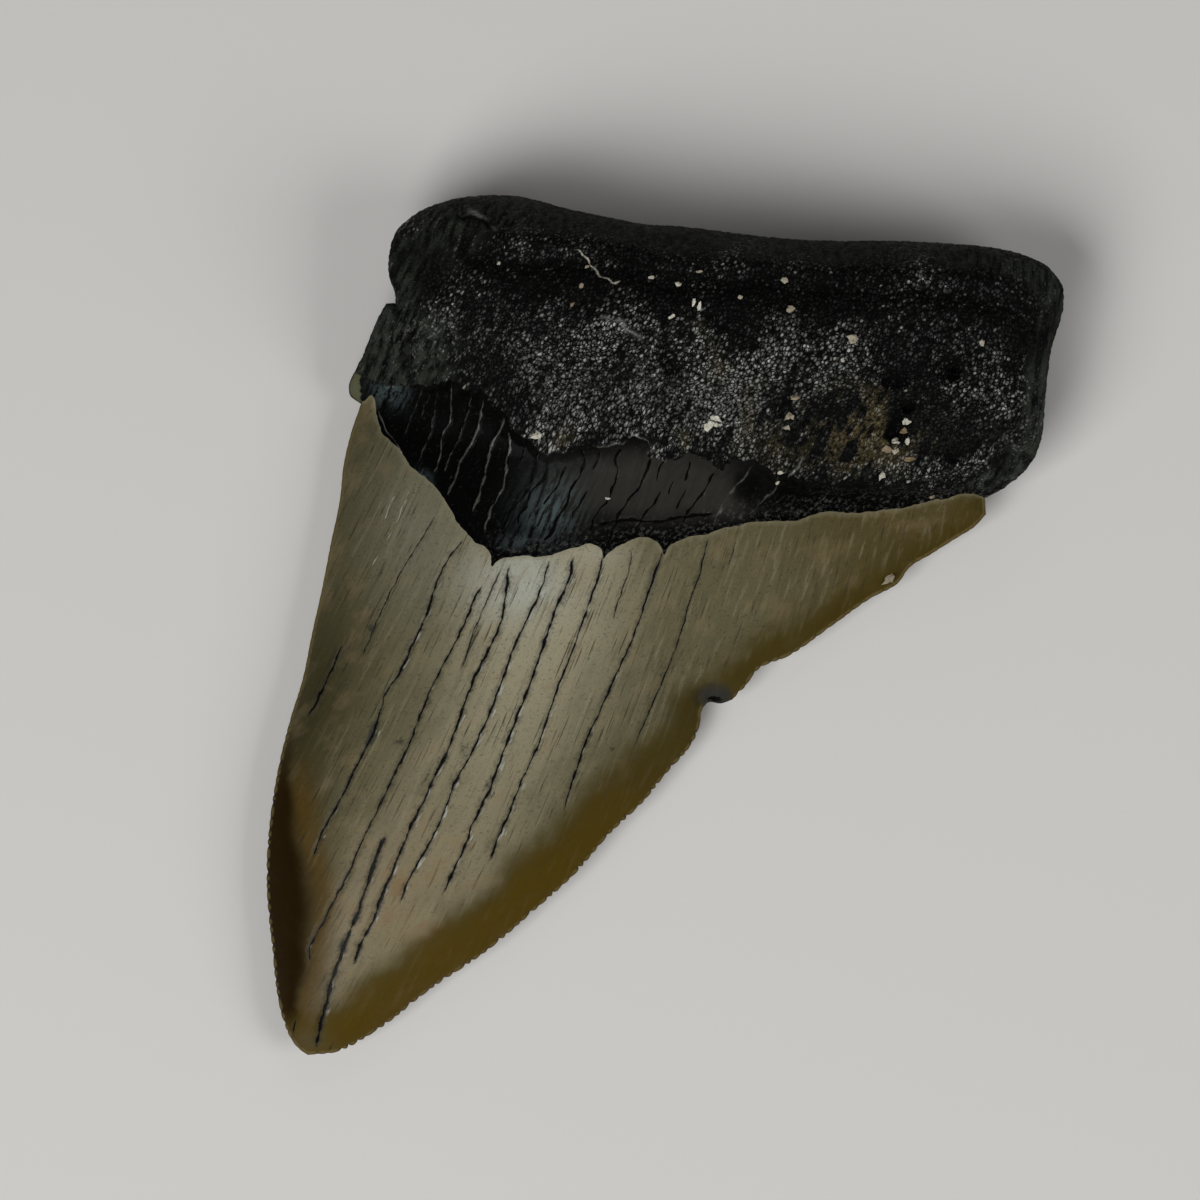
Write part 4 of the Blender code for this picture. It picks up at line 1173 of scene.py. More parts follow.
@dataclass
class Neck:
    """The bourlette: a hollow dark band between enamel and root, ribbed and cracked across."""

    enamel_step: float = 0.2
    step_width: float = 0.3
    dip: float = 0.3
    root_lip: float = 0.16
    lip_width: float = 0.7
    lip_reach: float = 5.0

    def __post_init__(self) -> None:
        """Draws the ridges, the cracks and a painted shadow line."""
        self.seams = Seams(RIDGE_SEAMS + NECK_CRACKS_AND_SHADOW_LINE, wobble=0.13, taper=0.5)

    def relief(self, survey: Survey) -> Array:
        """Gives the step off the enamel, the hollow band and the lip where the root begins.

        Args:
            survey: Points of the upper face.

        Returns:
            The relief at each of them.
        """
        off_enamel = smoothstep(0.0, self.step_width, -survey.into_enamel)
        on_root = smoothstep(-self.lip_width, 0.0, survey.into_root)
        band = off_enamel * (1.0 - on_root)
        before = np.clip(-survey.into_enamel, 0.0, None)
        middle = before / (before + np.clip(-survey.into_root, 0.0, None) + 0.01)
        hollow = self.dip * 4.0 * middle * (1.0 - middle)
        lip = self.root_lip * np.exp(-np.clip(survey.into_root, 0.0, None) / self.lip_reach)
        return on_root * lip - smoothstep(0.0, 1.0, survey.to_rim) * band * (self.enamel_step + hollow)

    def tints(self, survey: Survey) -> dict[str, Array]:
        """Works out where the colours of the bourlette lie.

        Args:
            survey: Points of either face.

        Returns:
            The strength of each colour at each point, by its name.
        """
        points = survey.points
        moved = strayed(points, 0.35, 1.3, (2.2, 7.7))
        plates, pools, teal = [clamped(together(spots, moved)) for spots in (PLATES, POOLS, TEAL_PATCHES)]
        before = np.clip(-survey.into_enamel, 0.0, None)
        return {
            "plate": plates * (1.0 - pools),
            "teal": teal,
            "grit": bell(before, 1.3) * smoothstep(-15.0, -11.0, points[:, 0]),
            "flake": inside(points, np.vstack([FLAKE, FLAKE_INSIDE])).astype(float),
        }


@dataclass
class Root:
    """The root: a thick, pebbled block with a ridge along its base, pitted where it was open to the gum."""

    ridge_lip: float = 0.4
    ridge_groove: float = 0.55
    lumps: float = 0.42
    lump_size: float = 3.4
    small_lumps: float = 0.16
    small_lump_size: float = 1.1
    crease: float = 0.42
    crease_width: float = 0.8
    crease_length: float = 3.2
    crease_angle: float = math.radians(62.0)
    pebble: float = 0.1
    pebble_size: float = 0.4

    def __post_init__(self) -> None:
        """Draws the fissure, the vein and the dark lines."""
        self.seams = Seams(ROOT_SEAMS, wobble=0.3, taper=0.8)

    def relief(self, survey: Survey) -> Array:
        """Gives the swelling, the basal ridge with its groove, the lumps and the pits.

        Args:
            survey: Points of the upper face.

        Returns:
            The relief at each of them.
        """
        points = survey.points
        relief = ROOT_SWELLING.at(points) + self.ridge_lip * bell(survey.over_ridge, 0.7)
        relief -= self.ridge_groove * bell(-survey.over_ridge - 1.7, 1.0)
        return relief + self.unevenness(survey) - together(ROOT_PITS, points) - together(ROOT_HOLES, points)

    def unevenness(self, survey: Survey) -> Array:
        """Gives the lumps of the root, and the creases that run down towards the crown."""
        points = survey.points
        hollow = ROOT_BROWN[0].at(points)
        places = stretched(points, self.crease_angle, self.crease_width, self.crease_length)
        creases = clamped(1.2 - survey.into_root / 9.0) * (0.35 - 1.7 * np.abs(ripple(places, 1.0, 2.9)))
        return (
            self.lumps * ripple(points, self.lump_size, 1.7)
            + self.small_lumps * (1.0 + 2.4 * hollow) * ripple(points, self.small_lump_size, 6.2)
            + self.crease * (1.0 + 0.8 * hollow) * creases
        )

    def tints(self, survey: Survey) -> dict[str, Array]:
        """Works out where the colours of the root lie.

        Args:
            survey: Points of either face.

        Returns:
            The strength of each colour at each point, by its name.
        """
        points = survey.points
        moved = strayed(points, 0.9, 2.3, (4.4, 8.8))
        to_side = np.minimum(survey.to_left, survey.to_right) + 0.5 * ripple(points, 1.5, 3.0)
        side = 1.0 - smoothstep(0.6, 2.6, to_side)
        base = smoothstep(-0.2, 1.6, survey.over_ridge + 0.5 * ripple(points, 1.5, 5.0))
        # Painted shade in the band under the basal ridge.
        under_ridge = bell(survey.over_ridge + 2.4, 1.7)
        # Painted light and shade of the relief: lighter on the lumps and crease tops, darker in the pits.
        height = 3.2 * self.unevenness(survey) - 0.9 * together(ROOT_PITS[1:], points)
        return {
            # Painted light on the specks, held back as painted shade in the band under the basal ridge.
            "light": clamped(together(ROOT_LIGHT, moved)) * (1.0 - 0.75 * under_ridge),
            "smooth": clamped(base + side + together(ROOT_SMOOTH, moved)),
            "brown": clamped(together(ROOT_BROWN, moved)),
            "tan": clamped(together(ROOT_TAN, moved)),
            # Black, partly painted shade in the pits and under the basal ridge.
            "black": clamped(together(ROOT_BLACK_AND_SHADE, moved) + 0.8 * under_ridge),
            "drawn_out": clamped(1.2 - survey.into_root / 5.0),
            # Painted relief light and shade.
            "height": np.clip(height, -1.0, 1.0),
        }

    def skin(self, places: Array, strength: Array) -> Array:
        """Gives how far the pebbled skin stands out at places, by how strong it is there."""
        rough = 0.7 * pebbles(places, self.pebble_size) + 0.3 * ripple(places, 0.8, 2.0)
        return self.pebble * strength * (rough - 0.35)


@dataclass
class Underside:
    """The labial face: a flat blade of enamel, and the root's bulge that the tooth lies on."""

    plan: Plan
    belly: float = 2.7
    belly_width: float = 14.0
    rounding: float = 5.5
    bulge: float = 0.25
    lift: float = 1.0
    half_length: float = 25.0
    middle_x: float = 2.0
    lumps: float = 0.3
    lump_size: float = 6.8
    step: float = 0.35
    step_width: float = 0.6
    step_reach: float = 3.0
    crack_count: int = 13
    crack_span: Point = (0.08, 0.86)
    crack_steps: tuple[int, int] = (5, 12)
    crack_step: float = 2.4
    crack_margin: float = 2.5
    crack_seed: int = 5

    def __post_init__(self) -> None:
        """Draws the cracks, which run down the grain from the edge of the enamel."""
        chance = np.random.default_rng(self.crack_seed)
        seams = []
        for start in np.linspace(*self.crack_span, self.crack_count):
            top = self.plan.labial_line[int(start * len(self.plan.labial_line))]
            place = top - (0.5, 1.0 + 3.0 * chance.random())
            line = [tuple(place)]
            for _ in range(chance.integers(*self.crack_steps)):
                place = place - (self.crack_step * FLOW_CURL * (FLOW_POLE - place[0]), self.crack_step)
                too_close = self.plan.rim.nearest(place[None]).gap[0] < self.crack_margin
                if too_close or not inside(place[None], self.plan.rim.line)[0]:
                    break
                line.append(tuple(place))
            if len(line) > 2:
                seams.append(Seam(line, 0.1, 0.1))
        self.seams = Seams(seams, spacing=0.3)

    def height(self, survey: Survey, edge: Array) -> Array:
        """Gives the height of the lower face, cut off flat where it meets the surface it lies on.

        Args:
            survey: Points of the lower face.
            edge: Height of the rim next to each of them.

        Returns:
            The height at each of them.
        """
        points = survey.points
        crown = self.belly * (1.0 - np.exp(-survey.width / self.belly_width)) * survey.lens**0.8
        lift = self.lift * ((points[:, 0] - self.middle_x) / self.half_length) ** 2
        lift += self.lumps * ripple(points, self.lump_size, 8.3)
        root = (edge + self.bulge - lift) * quarter_round(survey.to_rim / self.rounding)
        share = smoothstep(-3.0, 4.0, survey.past_labial)
        step = self.step * smoothstep(0.0, self.step_width, survey.past_labial)
        step *= np.exp(-np.clip(survey.past_labial, 0.0, None) / self.step_reach)
        fall = crown * (1.0 - share) + root * share - step * smoothstep(0.0, 1.5, survey.to_rim)
        return np.maximum(edge - fall, 0.0) - self.seams.measure(points)[0]


class Wire:
    """An output of a node, with which sums are written as expressions."""

    def __init__(self, recipe: "Recipe", socket: bpy.types.NodeSocket) -> None:
        """Keeps the socket and the recipe that it belongs to."""
        self.recipe, self.socket = recipe, socket

    def _sum(self, operation: str, first: "Wire | float", second: "Wire | float") -> "Wire":
        """Adds a Math node that does the operation on two values."""
        return self.recipe.node("ShaderNodeMath", {"operation": operation}, {0: first, 1: second})

    def __add__(self, other: "Wire | float") -> "Wire":
        """Adds a value."""
        return self._sum("ADD", self, other)

    def __radd__(self, other: float) -> "Wire":
        """Adds this to a number."""
        return self._sum("ADD", other, self)

    def __sub__(self, other: "Wire | float") -> "Wire":
        """Takes a value away."""
        return self._sum("SUBTRACT", self, other)

    def __rsub__(self, other: float) -> "Wire":
        """Takes this away from a number."""
        return self._sum("SUBTRACT", other, self)

    def __mul__(self, other: "Wire | float") -> "Wire":
        """Multiplies by a value."""
        return self._sum("MULTIPLY", self, other)

    def __rmul__(self, other: float) -> "Wire":
        """Multiplies a number by this."""
        return self._sum("MULTIPLY", other, self)


EVEN: Triple = (1.0, 1.0, 1.0)


class Recipe:
    """A material in the making."""

    def __init__(self, name: str, ground: Colour) -> None:
        """Starts a material from the plain shader.

        Args:
            name: Its name.
            ground: The colour below all others.
        """
        self.material = bpy.data.materials.new(name)
        self.material.use_nodes = True
        self.tree = self.material.node_tree
        self.colour: Colour | Wire = ground

    def node(
        self,
        kind: str,
        settings: dict[str, object],
        sockets: dict[int | str, object],
        output: int | str = 0,
    ) -> Wire:
        """Adds a node.

        Args:
            kind: Its type.
            settings: Its properties, which are set first.
            sockets: Values or wires for its inputs.
            output: Which of its outputs to give back.

        Returns:
            The chosen output.
        """
        made = self.tree.nodes.new(kind)
        for name, value in settings.items():
            setattr(made, name, value)
        for key, value in sockets.items():
            self.fill(made.inputs[key], value)
        return Wire(self, made.outputs[output])

    def fill(self, socket: bpy.types.NodeSocket, value: object) -> None:
        """Gives a socket a wire or a value.

        Args:
            socket: The input.
            value: A wire, a number, a vector or a colour of three numbers.
        """
        if isinstance(value, Wire):
            self.tree.links.new(value.socket, socket)
        elif socket.type == "RGBA" and len(value) == 3:
            socket.default_value = (*value, 1.0)
        else:
            socket.default_value = value

    def mark(self, name: str) -> Wire:
        """Reads a number that is stored on the points of the mesh."""
        return self.node("ShaderNodeAttribute", {"attribute_name": name}, {}, "Fac")

    def place(self, stretch: Triple) -> Wire:
        """Gives the place in the grain in millimetres, times factors across it, along it and in height."""
        flow = self.node("ShaderNodeAttribute", {"attribute_name": "flow"}, {}, "Vector")
        return self.node("ShaderNodeVectorMath", {"operation": "MULTIPLY"}, {0: flow, 1: stretch})

    def cloud(self, stretch: Triple, scale: float, detail: float, roughness: float) -> Wire:
        """Adds a noise between 0 and 1, with lumps of a scale and finer layers of a roughness over them."""
        sockets = {"Vector": self.place(stretch), "Scale": scale, "Detail": detail, "Roughness": roughness}
        return self.node("ShaderNodeTexNoise", {}, sockets)

    def cells(self, stretch: Triple, scale: float) -> tuple[Wire, Wire, Wire, Wire]:
        """Adds an irregular pattern of cells.

        Args:
            stretch: Factors on the place in the grain.
            scale: How many cells there are to a unit.

        Returns:
            The distance to a cell's border, that to its middle, and two numbers drawn by lot for each cell.
        """
        sockets = {"Vector": self.place(stretch), "Scale": scale}
        border = self.node("ShaderNodeTexVoronoi", {"feature": "DISTANCE_TO_EDGE"}, sockets, "Distance")
        middle = self.node("ShaderNodeTexVoronoi", {}, sockets, "Distance")
        lot = self.node("ShaderNodeSeparateColor", {}, {0: Wire(self, middle.socket.node.outputs["Color"])})
        return border, middle, lot, Wire(self, lot.socket.node.outputs[1])

    def ramp(self, value: Wire, low: float, high: float) -> Wire:
        """Turns a value into a smooth step, 0 at the low value and 1 at the high one."""
        sockets = {0: value, 1: low, 2: high, 3: 0.0, 4: 1.0}
        return self.node("ShaderNodeMapRange", {"interpolation_type": "SMOOTHSTEP"}, sockets)

    def blend(self, share: Wire, first: Colour | Wire, second: Colour | Wire) -> Wire:
        """Mixes two colours, with the share of the second one given."""
        return self.node("ShaderNodeMix", {"data_type": "RGBA"}, {0: share, 6: first, 7: second}, 2)

    def lay(self, share: Wire, colour: Colour | Wire) -> None:
        """Lays a colour over those that are there, as strongly as the share says."""
        self.colour = self.blend(share, self.colour, colour)

    def bump(self, height: Wire, depth: float) -> Wire:
        """Turns a height between 0 and 1 into a bent normal, for a depth in millimetres."""
        return self.node("ShaderNodeBump", {}, {"Strength": 1.0, "Distance": depth * MM, "Height": height})

    def done(self, **sockets: object) -> bpy.types.Material:
        """Fills the shader's sockets.

        Args:
            sockets: Values or wires, by the socket's name with underscores for spaces.

        Returns:
            The material.
        """
        shader = self.tree.nodes["Principled BSDF"]
        for name, value in {"Base_Color": self.colour, **sockets}.items():
            self.fill(shader.inputs[name.replace("_", " ")], value)
        return self.material


@dataclass(frozen=True)
class EnamelFinish:
    """Glossy, faintly streaked enamel, amber and brown along the cutting edges, with painted sheen,
    highlights and shade.
    """

    body: Colour = (0.118, 0.105, 0.056)
    # Colour of the painted sheen along the crest, also laid in light streaks and in the painted rim
    # highlight.
    pale: Colour = (0.31, 0.282, 0.188)
    # Olive tint that carries painted shade on the left flank.
    olive_and_painted_shade: Colour = (0.034, 0.0285, 0.009)
    shade: Colour = (0.074, 0.055, 0.017)
    amber: Colour = (0.051, 0.0345, 0.003)
    gold: Colour = (0.076, 0.047, 0.0035)
    umber: Colour = (0.0145, 0.0062, 0.0002)
    fringe: Colour = (0.088, 0.05, 0.008)
    tip: Colour = (0.075, 0.058, 0.023)
    # Colour of the painted bluish sheen.
    blue_sheen: Colour = (0.42, 0.44, 0.385)
    blot: Colour = (0.026, 0.028, 0.025)
    crack: Colour = (0.003, 0.0028, 0.0022)
    shine: Colour = (0.45, 0.45, 0.4)
    chip: Colour = (0.03, 0.031, 0.029)
    thread: Colour = (0.024, 0.0225, 0.015)
    warm: Colour = (0.205, 0.148, 0.078)
    # Colour of the painted highlight on the tips of the serrations.
    serration_highlight: Colour = (0.14, 0.105, 0.04)

    def material(self) -> bpy.types.Material:
        """Mixes the material."""
        make = Recipe("enamel", self.body)
        streaks = make.cloud((2.6, 0.13, 1.0), 1.0, 4.0, 0.6)
        threads = make.cloud((7.0, 0.2, 1.0), 1.0, 2.0, 0.5)
        mottle = make.cloud(EVEN, 0.45, 4.0, 0.6)
        grain = make.cloud(EVEN, 5.0, 3.0, 0.6)
        jags = make.cloud((7.0, 4.0, 1.0), 1.0, 3.0, 0.65)
        # Painted sheen along the crest, mottled.
        make.lay(make.ramp(make.mark("pale") + (mottle - 0.5) * 0.5, 0.05, 1.0), self.pale)
        # Painted bluish sheen.
        make.lay(make.mark("blue_sheen") * 0.8, self.blue_sheen)
        make.lay(make.mark("shade") * 0.85, self.shade)
        # Olive tint and painted shade on the left flank.
        make.lay(make.mark("olive_and_painted_shade") * 0.9, self.olive_and_painted_shade)
        make.lay(make.mark("amber") * (0.7 + mottle * 0.4), self.amber)
        make.lay(make.mark("amber") * make.mark("gold") * 0.9, self.gold)
        make.lay(make.mark("fringe") * 0.8, self.fringe)
        make.lay(make.mark("umber"), self.umber)
        make.lay(make.mark("tip"), self.tip)
        plain = make.ramp(1.0 - make.mark("amber") * 0.75 - make.mark("umber"), 0.0, 1.0)
        make.lay(make.ramp(streaks, 0.5, 0.78) * plain * 0.28, self.thread)
        light_streaks = make.ramp(streaks, 0.48, 0.28) * plain * (1.0 - make.mark("olive_and_painted_shade") * 0.8)
        make.lay(light_streaks * 0.3, self.pale)
        fine_lines = make.ramp(threads, 0.6, 0.68) * make.ramp(mottle + (streaks - 0.5) * 0.6, 0.35, 0.6)
        make.lay(fine_lines * plain * 0.85, self.thread)
        make.lay(make.ramp(grain, 0.54, 0.74) * (plain + 0.2) * 0.45, self.thread)
        warmth = make.ramp(mottle, 0.48, 0.72) * (0.35 + make.mark("warm") * 0.3) + make.mark("warm") * 0.45
        make.lay(warmth * plain * (1.0 - make.mark("fringe") * 0.8), self.warm)
        make.lay(make.ramp(make.mark("blot") + (grain - 0.5) * 0.9, 0.25, 0.75) * 0.8, self.blot)
        make.lay(make.mark("chip") * (0.6 + streaks * 0.6), self.chip)
        # Painted highlight on the tips of the serrations.
        make.lay(make.ramp(make.mark("lit_tooth_edge"), 0.3, 0.9) * 0.75, self.serration_highlight)
        # Painted highlight along the rim of the enamel.
        make.lay(make.mark("enamel_rim_highlight") * 0.3, self.pale)
        make.lay(make.ramp(make.mark("crack") * 3.0 + (jags - 0.5), 0.0, 0.6) * 0.6, self.blot)
        make.lay(make.ramp(make.mark("crack") + (jags - 0.5) * 1.1, 0.2, 0.5), self.crack)
        strokes = make.cloud((6.0, 0.7, 1.0), 1.0, 2.0, 0.5)
        glints = make.ramp(make.mark("shine") + (strokes - 0.5) * 2.0, 0.3, 0.8)
        make.lay(glints * make.ramp(make.mark("shine"), 0.02, 0.2) * 0.7, self.shine)
        height = streaks * 0.3 + threads * 0.3 + grain * 0.4
        return make.done(
            Roughness=make.ramp(grain, 0.2, 0.8) * 0.16 + make.mark("crack") * 0.3 + 0.34,
            Specular_IOR_Level=0.02,
            Coat_Weight=make.mark("pale") * 0.11 + 0.03 - make.mark("umber") * 0.03,
            Coat_Roughness=0.25,
            Normal=make.bump(height, 0.05),
        )


@dataclass(frozen=True)
class BourletteFinish:
    """Black glossy pools, matte grey plates between cracks, light grey ridges with painted glints, and a
    film of teal.
    """

    pool: Colour = (0.0014, 0.0014, 0.0013)
    plate: Colour = (0.03, 0.0288, 0.025)
    teal: Colour = (0.062, 0.082, 0.083)
    grit: Colour = (0.055, 0.055, 0.05)
    # Light grey of the ridges, partly painted glints.
    ridge: Colour = (0.078, 0.079, 0.07)
    crack: Colour = (0.0015, 0.0015, 0.0014)
    flake: Colour = (0.085, 0.085, 0.05)

    def material(self) -> bpy.types.Material:
        """Mixes the material."""
        make = Recipe("bourlette", self.pool)
        streaks = make.cloud((3.0, 0.5, 1.0), 1.0, 3.0, 0.6)
        grain = make.cloud(EVEN, 3.4, 4.0, 0.7)
        jags = make.cloud((5.0, 2.0, 1.0), 1.0, 3.0, 0.6)
        make.lay(make.mark("plate") * (0.55 + streaks * 0.7), self.plate)
        make.lay(make.mark("teal") * make.ramp(streaks + (grain - 0.5) * 0.3, 0.38, 0.62), self.teal)
        make.lay(make.mark("grit") * make.ramp(grain, 0.5, 0.66), self.grit)
        make.lay(make.ramp(grain, 0.58, 0.75) * 0.3, self.grit)
        make.lay(make.mark("flake"), self.flake)
        make.lay(make.ramp(make.mark("crack") + (jags - 0.5) * 0.7, 0.15, 0.4), self.crack)
        # Light grey ridges and painted glints beside the cracks, broken up along their length.
        light = make.ramp(make.mark("shine") + (jags - 0.5) * 0.9, 0.15, 0.6)
        make.lay(light * (0.35 + grain), self.ridge)
        return make.done(
            Roughness=make.mark("plate") * 0.2 + grain * 0.2 + 0.3,
            Specular_IOR_Level=0.02,
            Coat_Weight=light * 0.3 + 0.02,
            Coat_Roughness=0.15,
            Normal=make.bump(grain * 0.6 + streaks * 0.4, 0.05),
        )


@dataclass(frozen=True)
class RootFinish:
    """Pebbled fossil bone: grey specks on black with painted light, glints and shade, greenish where worn
    smooth, stained brown in a pit.
    """

    gap: Colour = (0.0018, 0.002, 0.0018)
    # Grey of a speck lit by painted light, partly its own worn top.
    speck: Colour = (0.46, 0.47, 0.435)
    dim_speck: Colour = (0.022, 0.0245, 0.0215)
    glint: Colour = (0.4, 0.41, 0.375)
    smooth: Colour = (0.05, 0.057, 0.044)
    brown: Colour = (0.165, 0.128, 0.05)
    tan: Colour = (0.11, 0.088, 0.05)
    # Black, also laid as painted shade in the pits and under the basal ridge.
    black: Colour = (0.0025, 0.0025, 0.0022)
    vein: Colour = (0.42, 0.4, 0.33)
    speck_count: float = 3.2

    def material(self) -> bpy.types.Material:
        """Mixes the material."""
        make = Recipe("root_bone", self.gap)
        drawn_out = make.mark("drawn_out")
        pairs = zip(make.cells(EVEN, self.speck_count), make.cells((1.15, 0.42, 1.0), self.speck_count))
        mixed = [wide * (1.0 - drawn_out) + long * drawn_out for wide, long in pairs]
        border, middle, lot, second_lot = mixed
        patches = make.cloud(EVEN, 0.55, 4.0, 0.6)
        fine = make.cloud(EVEN, 4.5, 3.0, 0.65)
        rough_border = make.ramp(border + (fine - 0.5) * 0.36, 0.02, 0.18)
        crumbs = make.cloud((1.0, 0.75, 1.0), 3.1, 3.0, 0.7)
        rough_middle = make.ramp(middle + (fine - 0.5) * 0.5, 0.85, 0.2)
        tops = rough_border * rough_middle * make.ramp(crumbs, 0.36, 0.6)
        grooves = make.cloud((1.9, 0.4, 1.0), 1.0, 3.0, 0.6)
        # Painted relief light, with random patches and grooves over it.
        high = make.mark("height") + (patches - 0.5) * 0.9 + (grooves - 0.5) * 0.8
        # Specks lit by painted light: bright where the painted light and the painted relief light are
        # strong, dim elsewhere.
        lit = make.mark("light") * 0.85 + lot * 1.2 + high * 0.6 - make.mark("black") * 0.4
        lit = make.ramp(lit, 0.55, 1.9)
        speck = make.blend(lit, self.dim_speck, self.speck)
        glints = make.ramp(second_lot + high * 0.12 + (fine - 0.5) * 0.4, 0.9, 1.05)
        speck = make.blend(glints, speck, self.glint)
        stained = make.mark("brown") * make.ramp(high, -0.4, 0.5)
        speck = make.blend(stained * 0.9, speck, self.brown)
        speck = make.blend(make.mark("tan") * make.ramp(fine + high * 0.3, 0.4, 0.65), speck, self.tan)
        make.lay(stained * make.ramp(crumbs, 0.3, 0.7) * 0.4, self.brown)
        make.lay(tops, speck)
        worn = make.ramp(make.mark("smooth") + (patches - 0.5) * 0.8, 0.2, 0.9) * (0.3 + fine * 0.7)
        make.lay(worn, make.blend(make.ramp(grooves, 0.36, 0.66), self.gap, self.smooth))
        # Black patches, partly painted shade.
        make.lay(make.mark("black") * 0.45, self.black)
        make.lay(make.ramp(make.mark("crack"), 0.15, 0.8) * 0.9, self.black)
        make.lay(make.ramp(make.mark("vein") + (fine - 0.5) * 0.8, 0.2, 0.6), self.vein)
        # Painted highlight along the light edges and ridges.
        make.lay(make.mark("shine") * 0.5, self.speck)
        return make.done(
            Roughness=0.68 - tops * 0.2,
            Specular_IOR_Level=0.03,
            Coat_Weight=tops * (lit * 0.9 + 0.2) * (1.0 - make.mark("smooth") * 0.8),
            Coat_Roughness=0.24,
            Normal=make.bump(tops * 0.7 + fine * 0.3, 0.2),
        )


class Part(Enum):
    """The finishes of the tooth, in the order of its material slots."""

    ENAMEL = 0
    BOURLETTE = 1
    ROOT = 2


# Kind of result asked of the triangulation: triangles inside the outline.
WITHIN_OUTLINE = 1


@dataclass
class Sheet:
    """One face of the tooth as triangles over points of the plan."""

    points: Array
    faces: list[list[int]]


@dataclass
class Tooth:
    """The whole tooth as one closed mesh, with what its finishes need stored on its points."""

    plan: Plan
    crown: Crown
    neck: Neck
    root: Root
    underside: Underside
    cutting_edge_z: float = 2.2
    root_side_z: float = 6.6
    thinnest: float = 0.15
    root_spacing: float = 0.165
    neck_spacing: float = 0.15
    crown_spacing: float = 0.37
    edge_spacing: float = 0.18
    under_spacing: float = 0.5
    under_rim_spacing: float = 0.27
    clearance: float = 0.55
    edge_band: float = 0.7
    under_rim_band: float = 0.8
    under_root_band: float = 4.0
    line_margin: float = 0.15
    under_line_margin: float = 0.3
    rim_margin: float = 0.12
    flank_gap: float = 0.045
    under_flank_gap: float = 0.05
    weld: float = 1e-5

    def __post_init__(self) -> None:
        """Gathers what the upper face is cracked and ridged with."""
        self.upper_seams = [self.crown.seams, self.neck.seams, self.root.seams]

    def edge_height(self, survey: Survey) -> Array:
        """Gives the height of the rim: low at the cutting edges, half way up the root's sides."""
        return self.cutting_edge_z + (self.root_side_z - self.cutting_edge_z) * survey.rootwards

    def lingual(self, survey: Survey) -> Array:
        """Gives the height of the upper face.

        Args:
            survey: Points of the upper face.

        Returns:
            The height at each of them.
        """
        inner = smoothstep(0.0, 2.0, survey.to_rim)
        relief = survey.rootwards * self.root.relief(survey)
        relief += (1.0 - survey.rootwards) * self.crown.flutes(survey)
        height = self.crown.dome(survey) + inner * relief + self.neck.relief(survey)
        height -= self.crown.chip.at(survey.points)
        height = np.maximum(height, self.thinnest * inner)
        for seams in self.upper_seams:
            height += seams.measure(survey.points)[0] * smoothstep(0.0, 0.4, survey.to_rim)
        return self.edge_height(survey) + height - self.crown.edge_grooves(survey)

    def upper_sheet(self) -> Sheet:
        """Lays out the points of the upper face, close on the root and crisp along its lines."""
        plan = self.plan
        lines = sum((seams.lines for seams in self.upper_seams), [plan.enamel_line, plan.root_line])
        lines = [line[plan.rim.nearest(line).gap > self.line_margin] for line in lines]
        lines = [line for line in lines if len(line) > 2]
        step_foot = plan.enamel_line + left_normals(plan.enamel_line) * self.neck.step_width
        flanks = [seams.flanks() for seams in self.upper_seams]
        loose = clear_of(lines, np.vstack([*flanks, step_foot]), self.flank_gap)
        zones = []
        for spacing, chosen in (
            (self.root_spacing, lambda root, enamel, edge: root),
            (self.neck_spacing, lambda root, enamel, edge: ~root & ~enamel),
            (self.edge_spacing, lambda root, enamel, edge: ~root & enamel & edge),
            (self.crown_spacing, lambda root, enamel, edge: ~root & enamel & ~edge),
        ):
            points = self.filling(spacing)
            true = plan.rolled_up(points)
            root = inside(true, np.vstack([plan.root_line, ABOVE]))
            enamel = inside(true, np.vstack([plan.enamel_line, BELOW]))
            edge = plan.rim.nearest(true).gap < self.edge_band
            zones.append((points[chosen(root, enamel, edge)], spacing))
        return self._triangulated(lines, loose, zones)

    def filling(self, spacing: float) -> Array:
        """Fills the outline with points at a spacing."""
        points = lattice(spacing)
        return points[inside(points, self.plan.rim.line)]

    def lower_sheet(self) -> Sheet:
        """Lays out the points of the lower face."""
        plan, seams = self.plan, self.underside.seams
        foot = plan.labial_line + left_normals(plan.labial_line) * self.underside.step_width
        lines = [plan.labial_line, foot]
        lines = [line[plan.rim.nearest(line).gap > self.under_line_margin] for line in lines] + seams.lines
        zones = []
        for spacing, near_rim in ((self.under_rim_spacing, True), (self.under_spacing, False)):
            points = self.filling(spacing)
            beside = plan.root_rim.nearest(points).gap < self.under_root_band
            beside |= plan.rim.nearest(points).gap < self.under_rim_band
            zones.append((points[beside == near_rim], spacing))
        return self._triangulated(lines, clear_of(lines, seams.flanks(), self.under_flank_gap), zones)

    def _triangulated(
        self, lines: list[Array], loose: Array, zones: list[tuple[Array, float]]
    ) -> Sheet:
        """Joins points with triangles, in the drawing that has the root's walls spread out.

        Args:
            lines: Lines in the plan that edges follow.
            loose: More points in the plan.
            zones: Points of the spread drawing, each set with its spacing.

        Returns:
            The face.
        """
        plan = self.plan
        outline = plan.outline
        kept = (plan.rim.nearest(loose).gap > self.rim_margin) & inside(loose, plan.rim.line)
        fixed = [*lines, loose[kept]]
        spread = [plan.spread_out(points) for points in fixed]
        for points, spacing in zones:
            clear = clear_of([outline, *spread], points, self.clearance * spacing)
            spread.append(clear)
            fixed.append(plan.rolled_up(clear))
        edges, first = [], len(outline)
        for line in lines:
            edges += [(first + index, first + index + 1) for index in range(len(line) - 1)]
            first += len(line)
        drawn, true = np.vstack([outline, *spread]), np.vstack([outline, *fixed])
        rim = len(outline)
        while True:
            corners = [Vector(point) for point in drawn]
            found = delaunay_2d_cdt(corners, edges, [list(range(rim))], WITHIN_OUTLINE, self.weld)
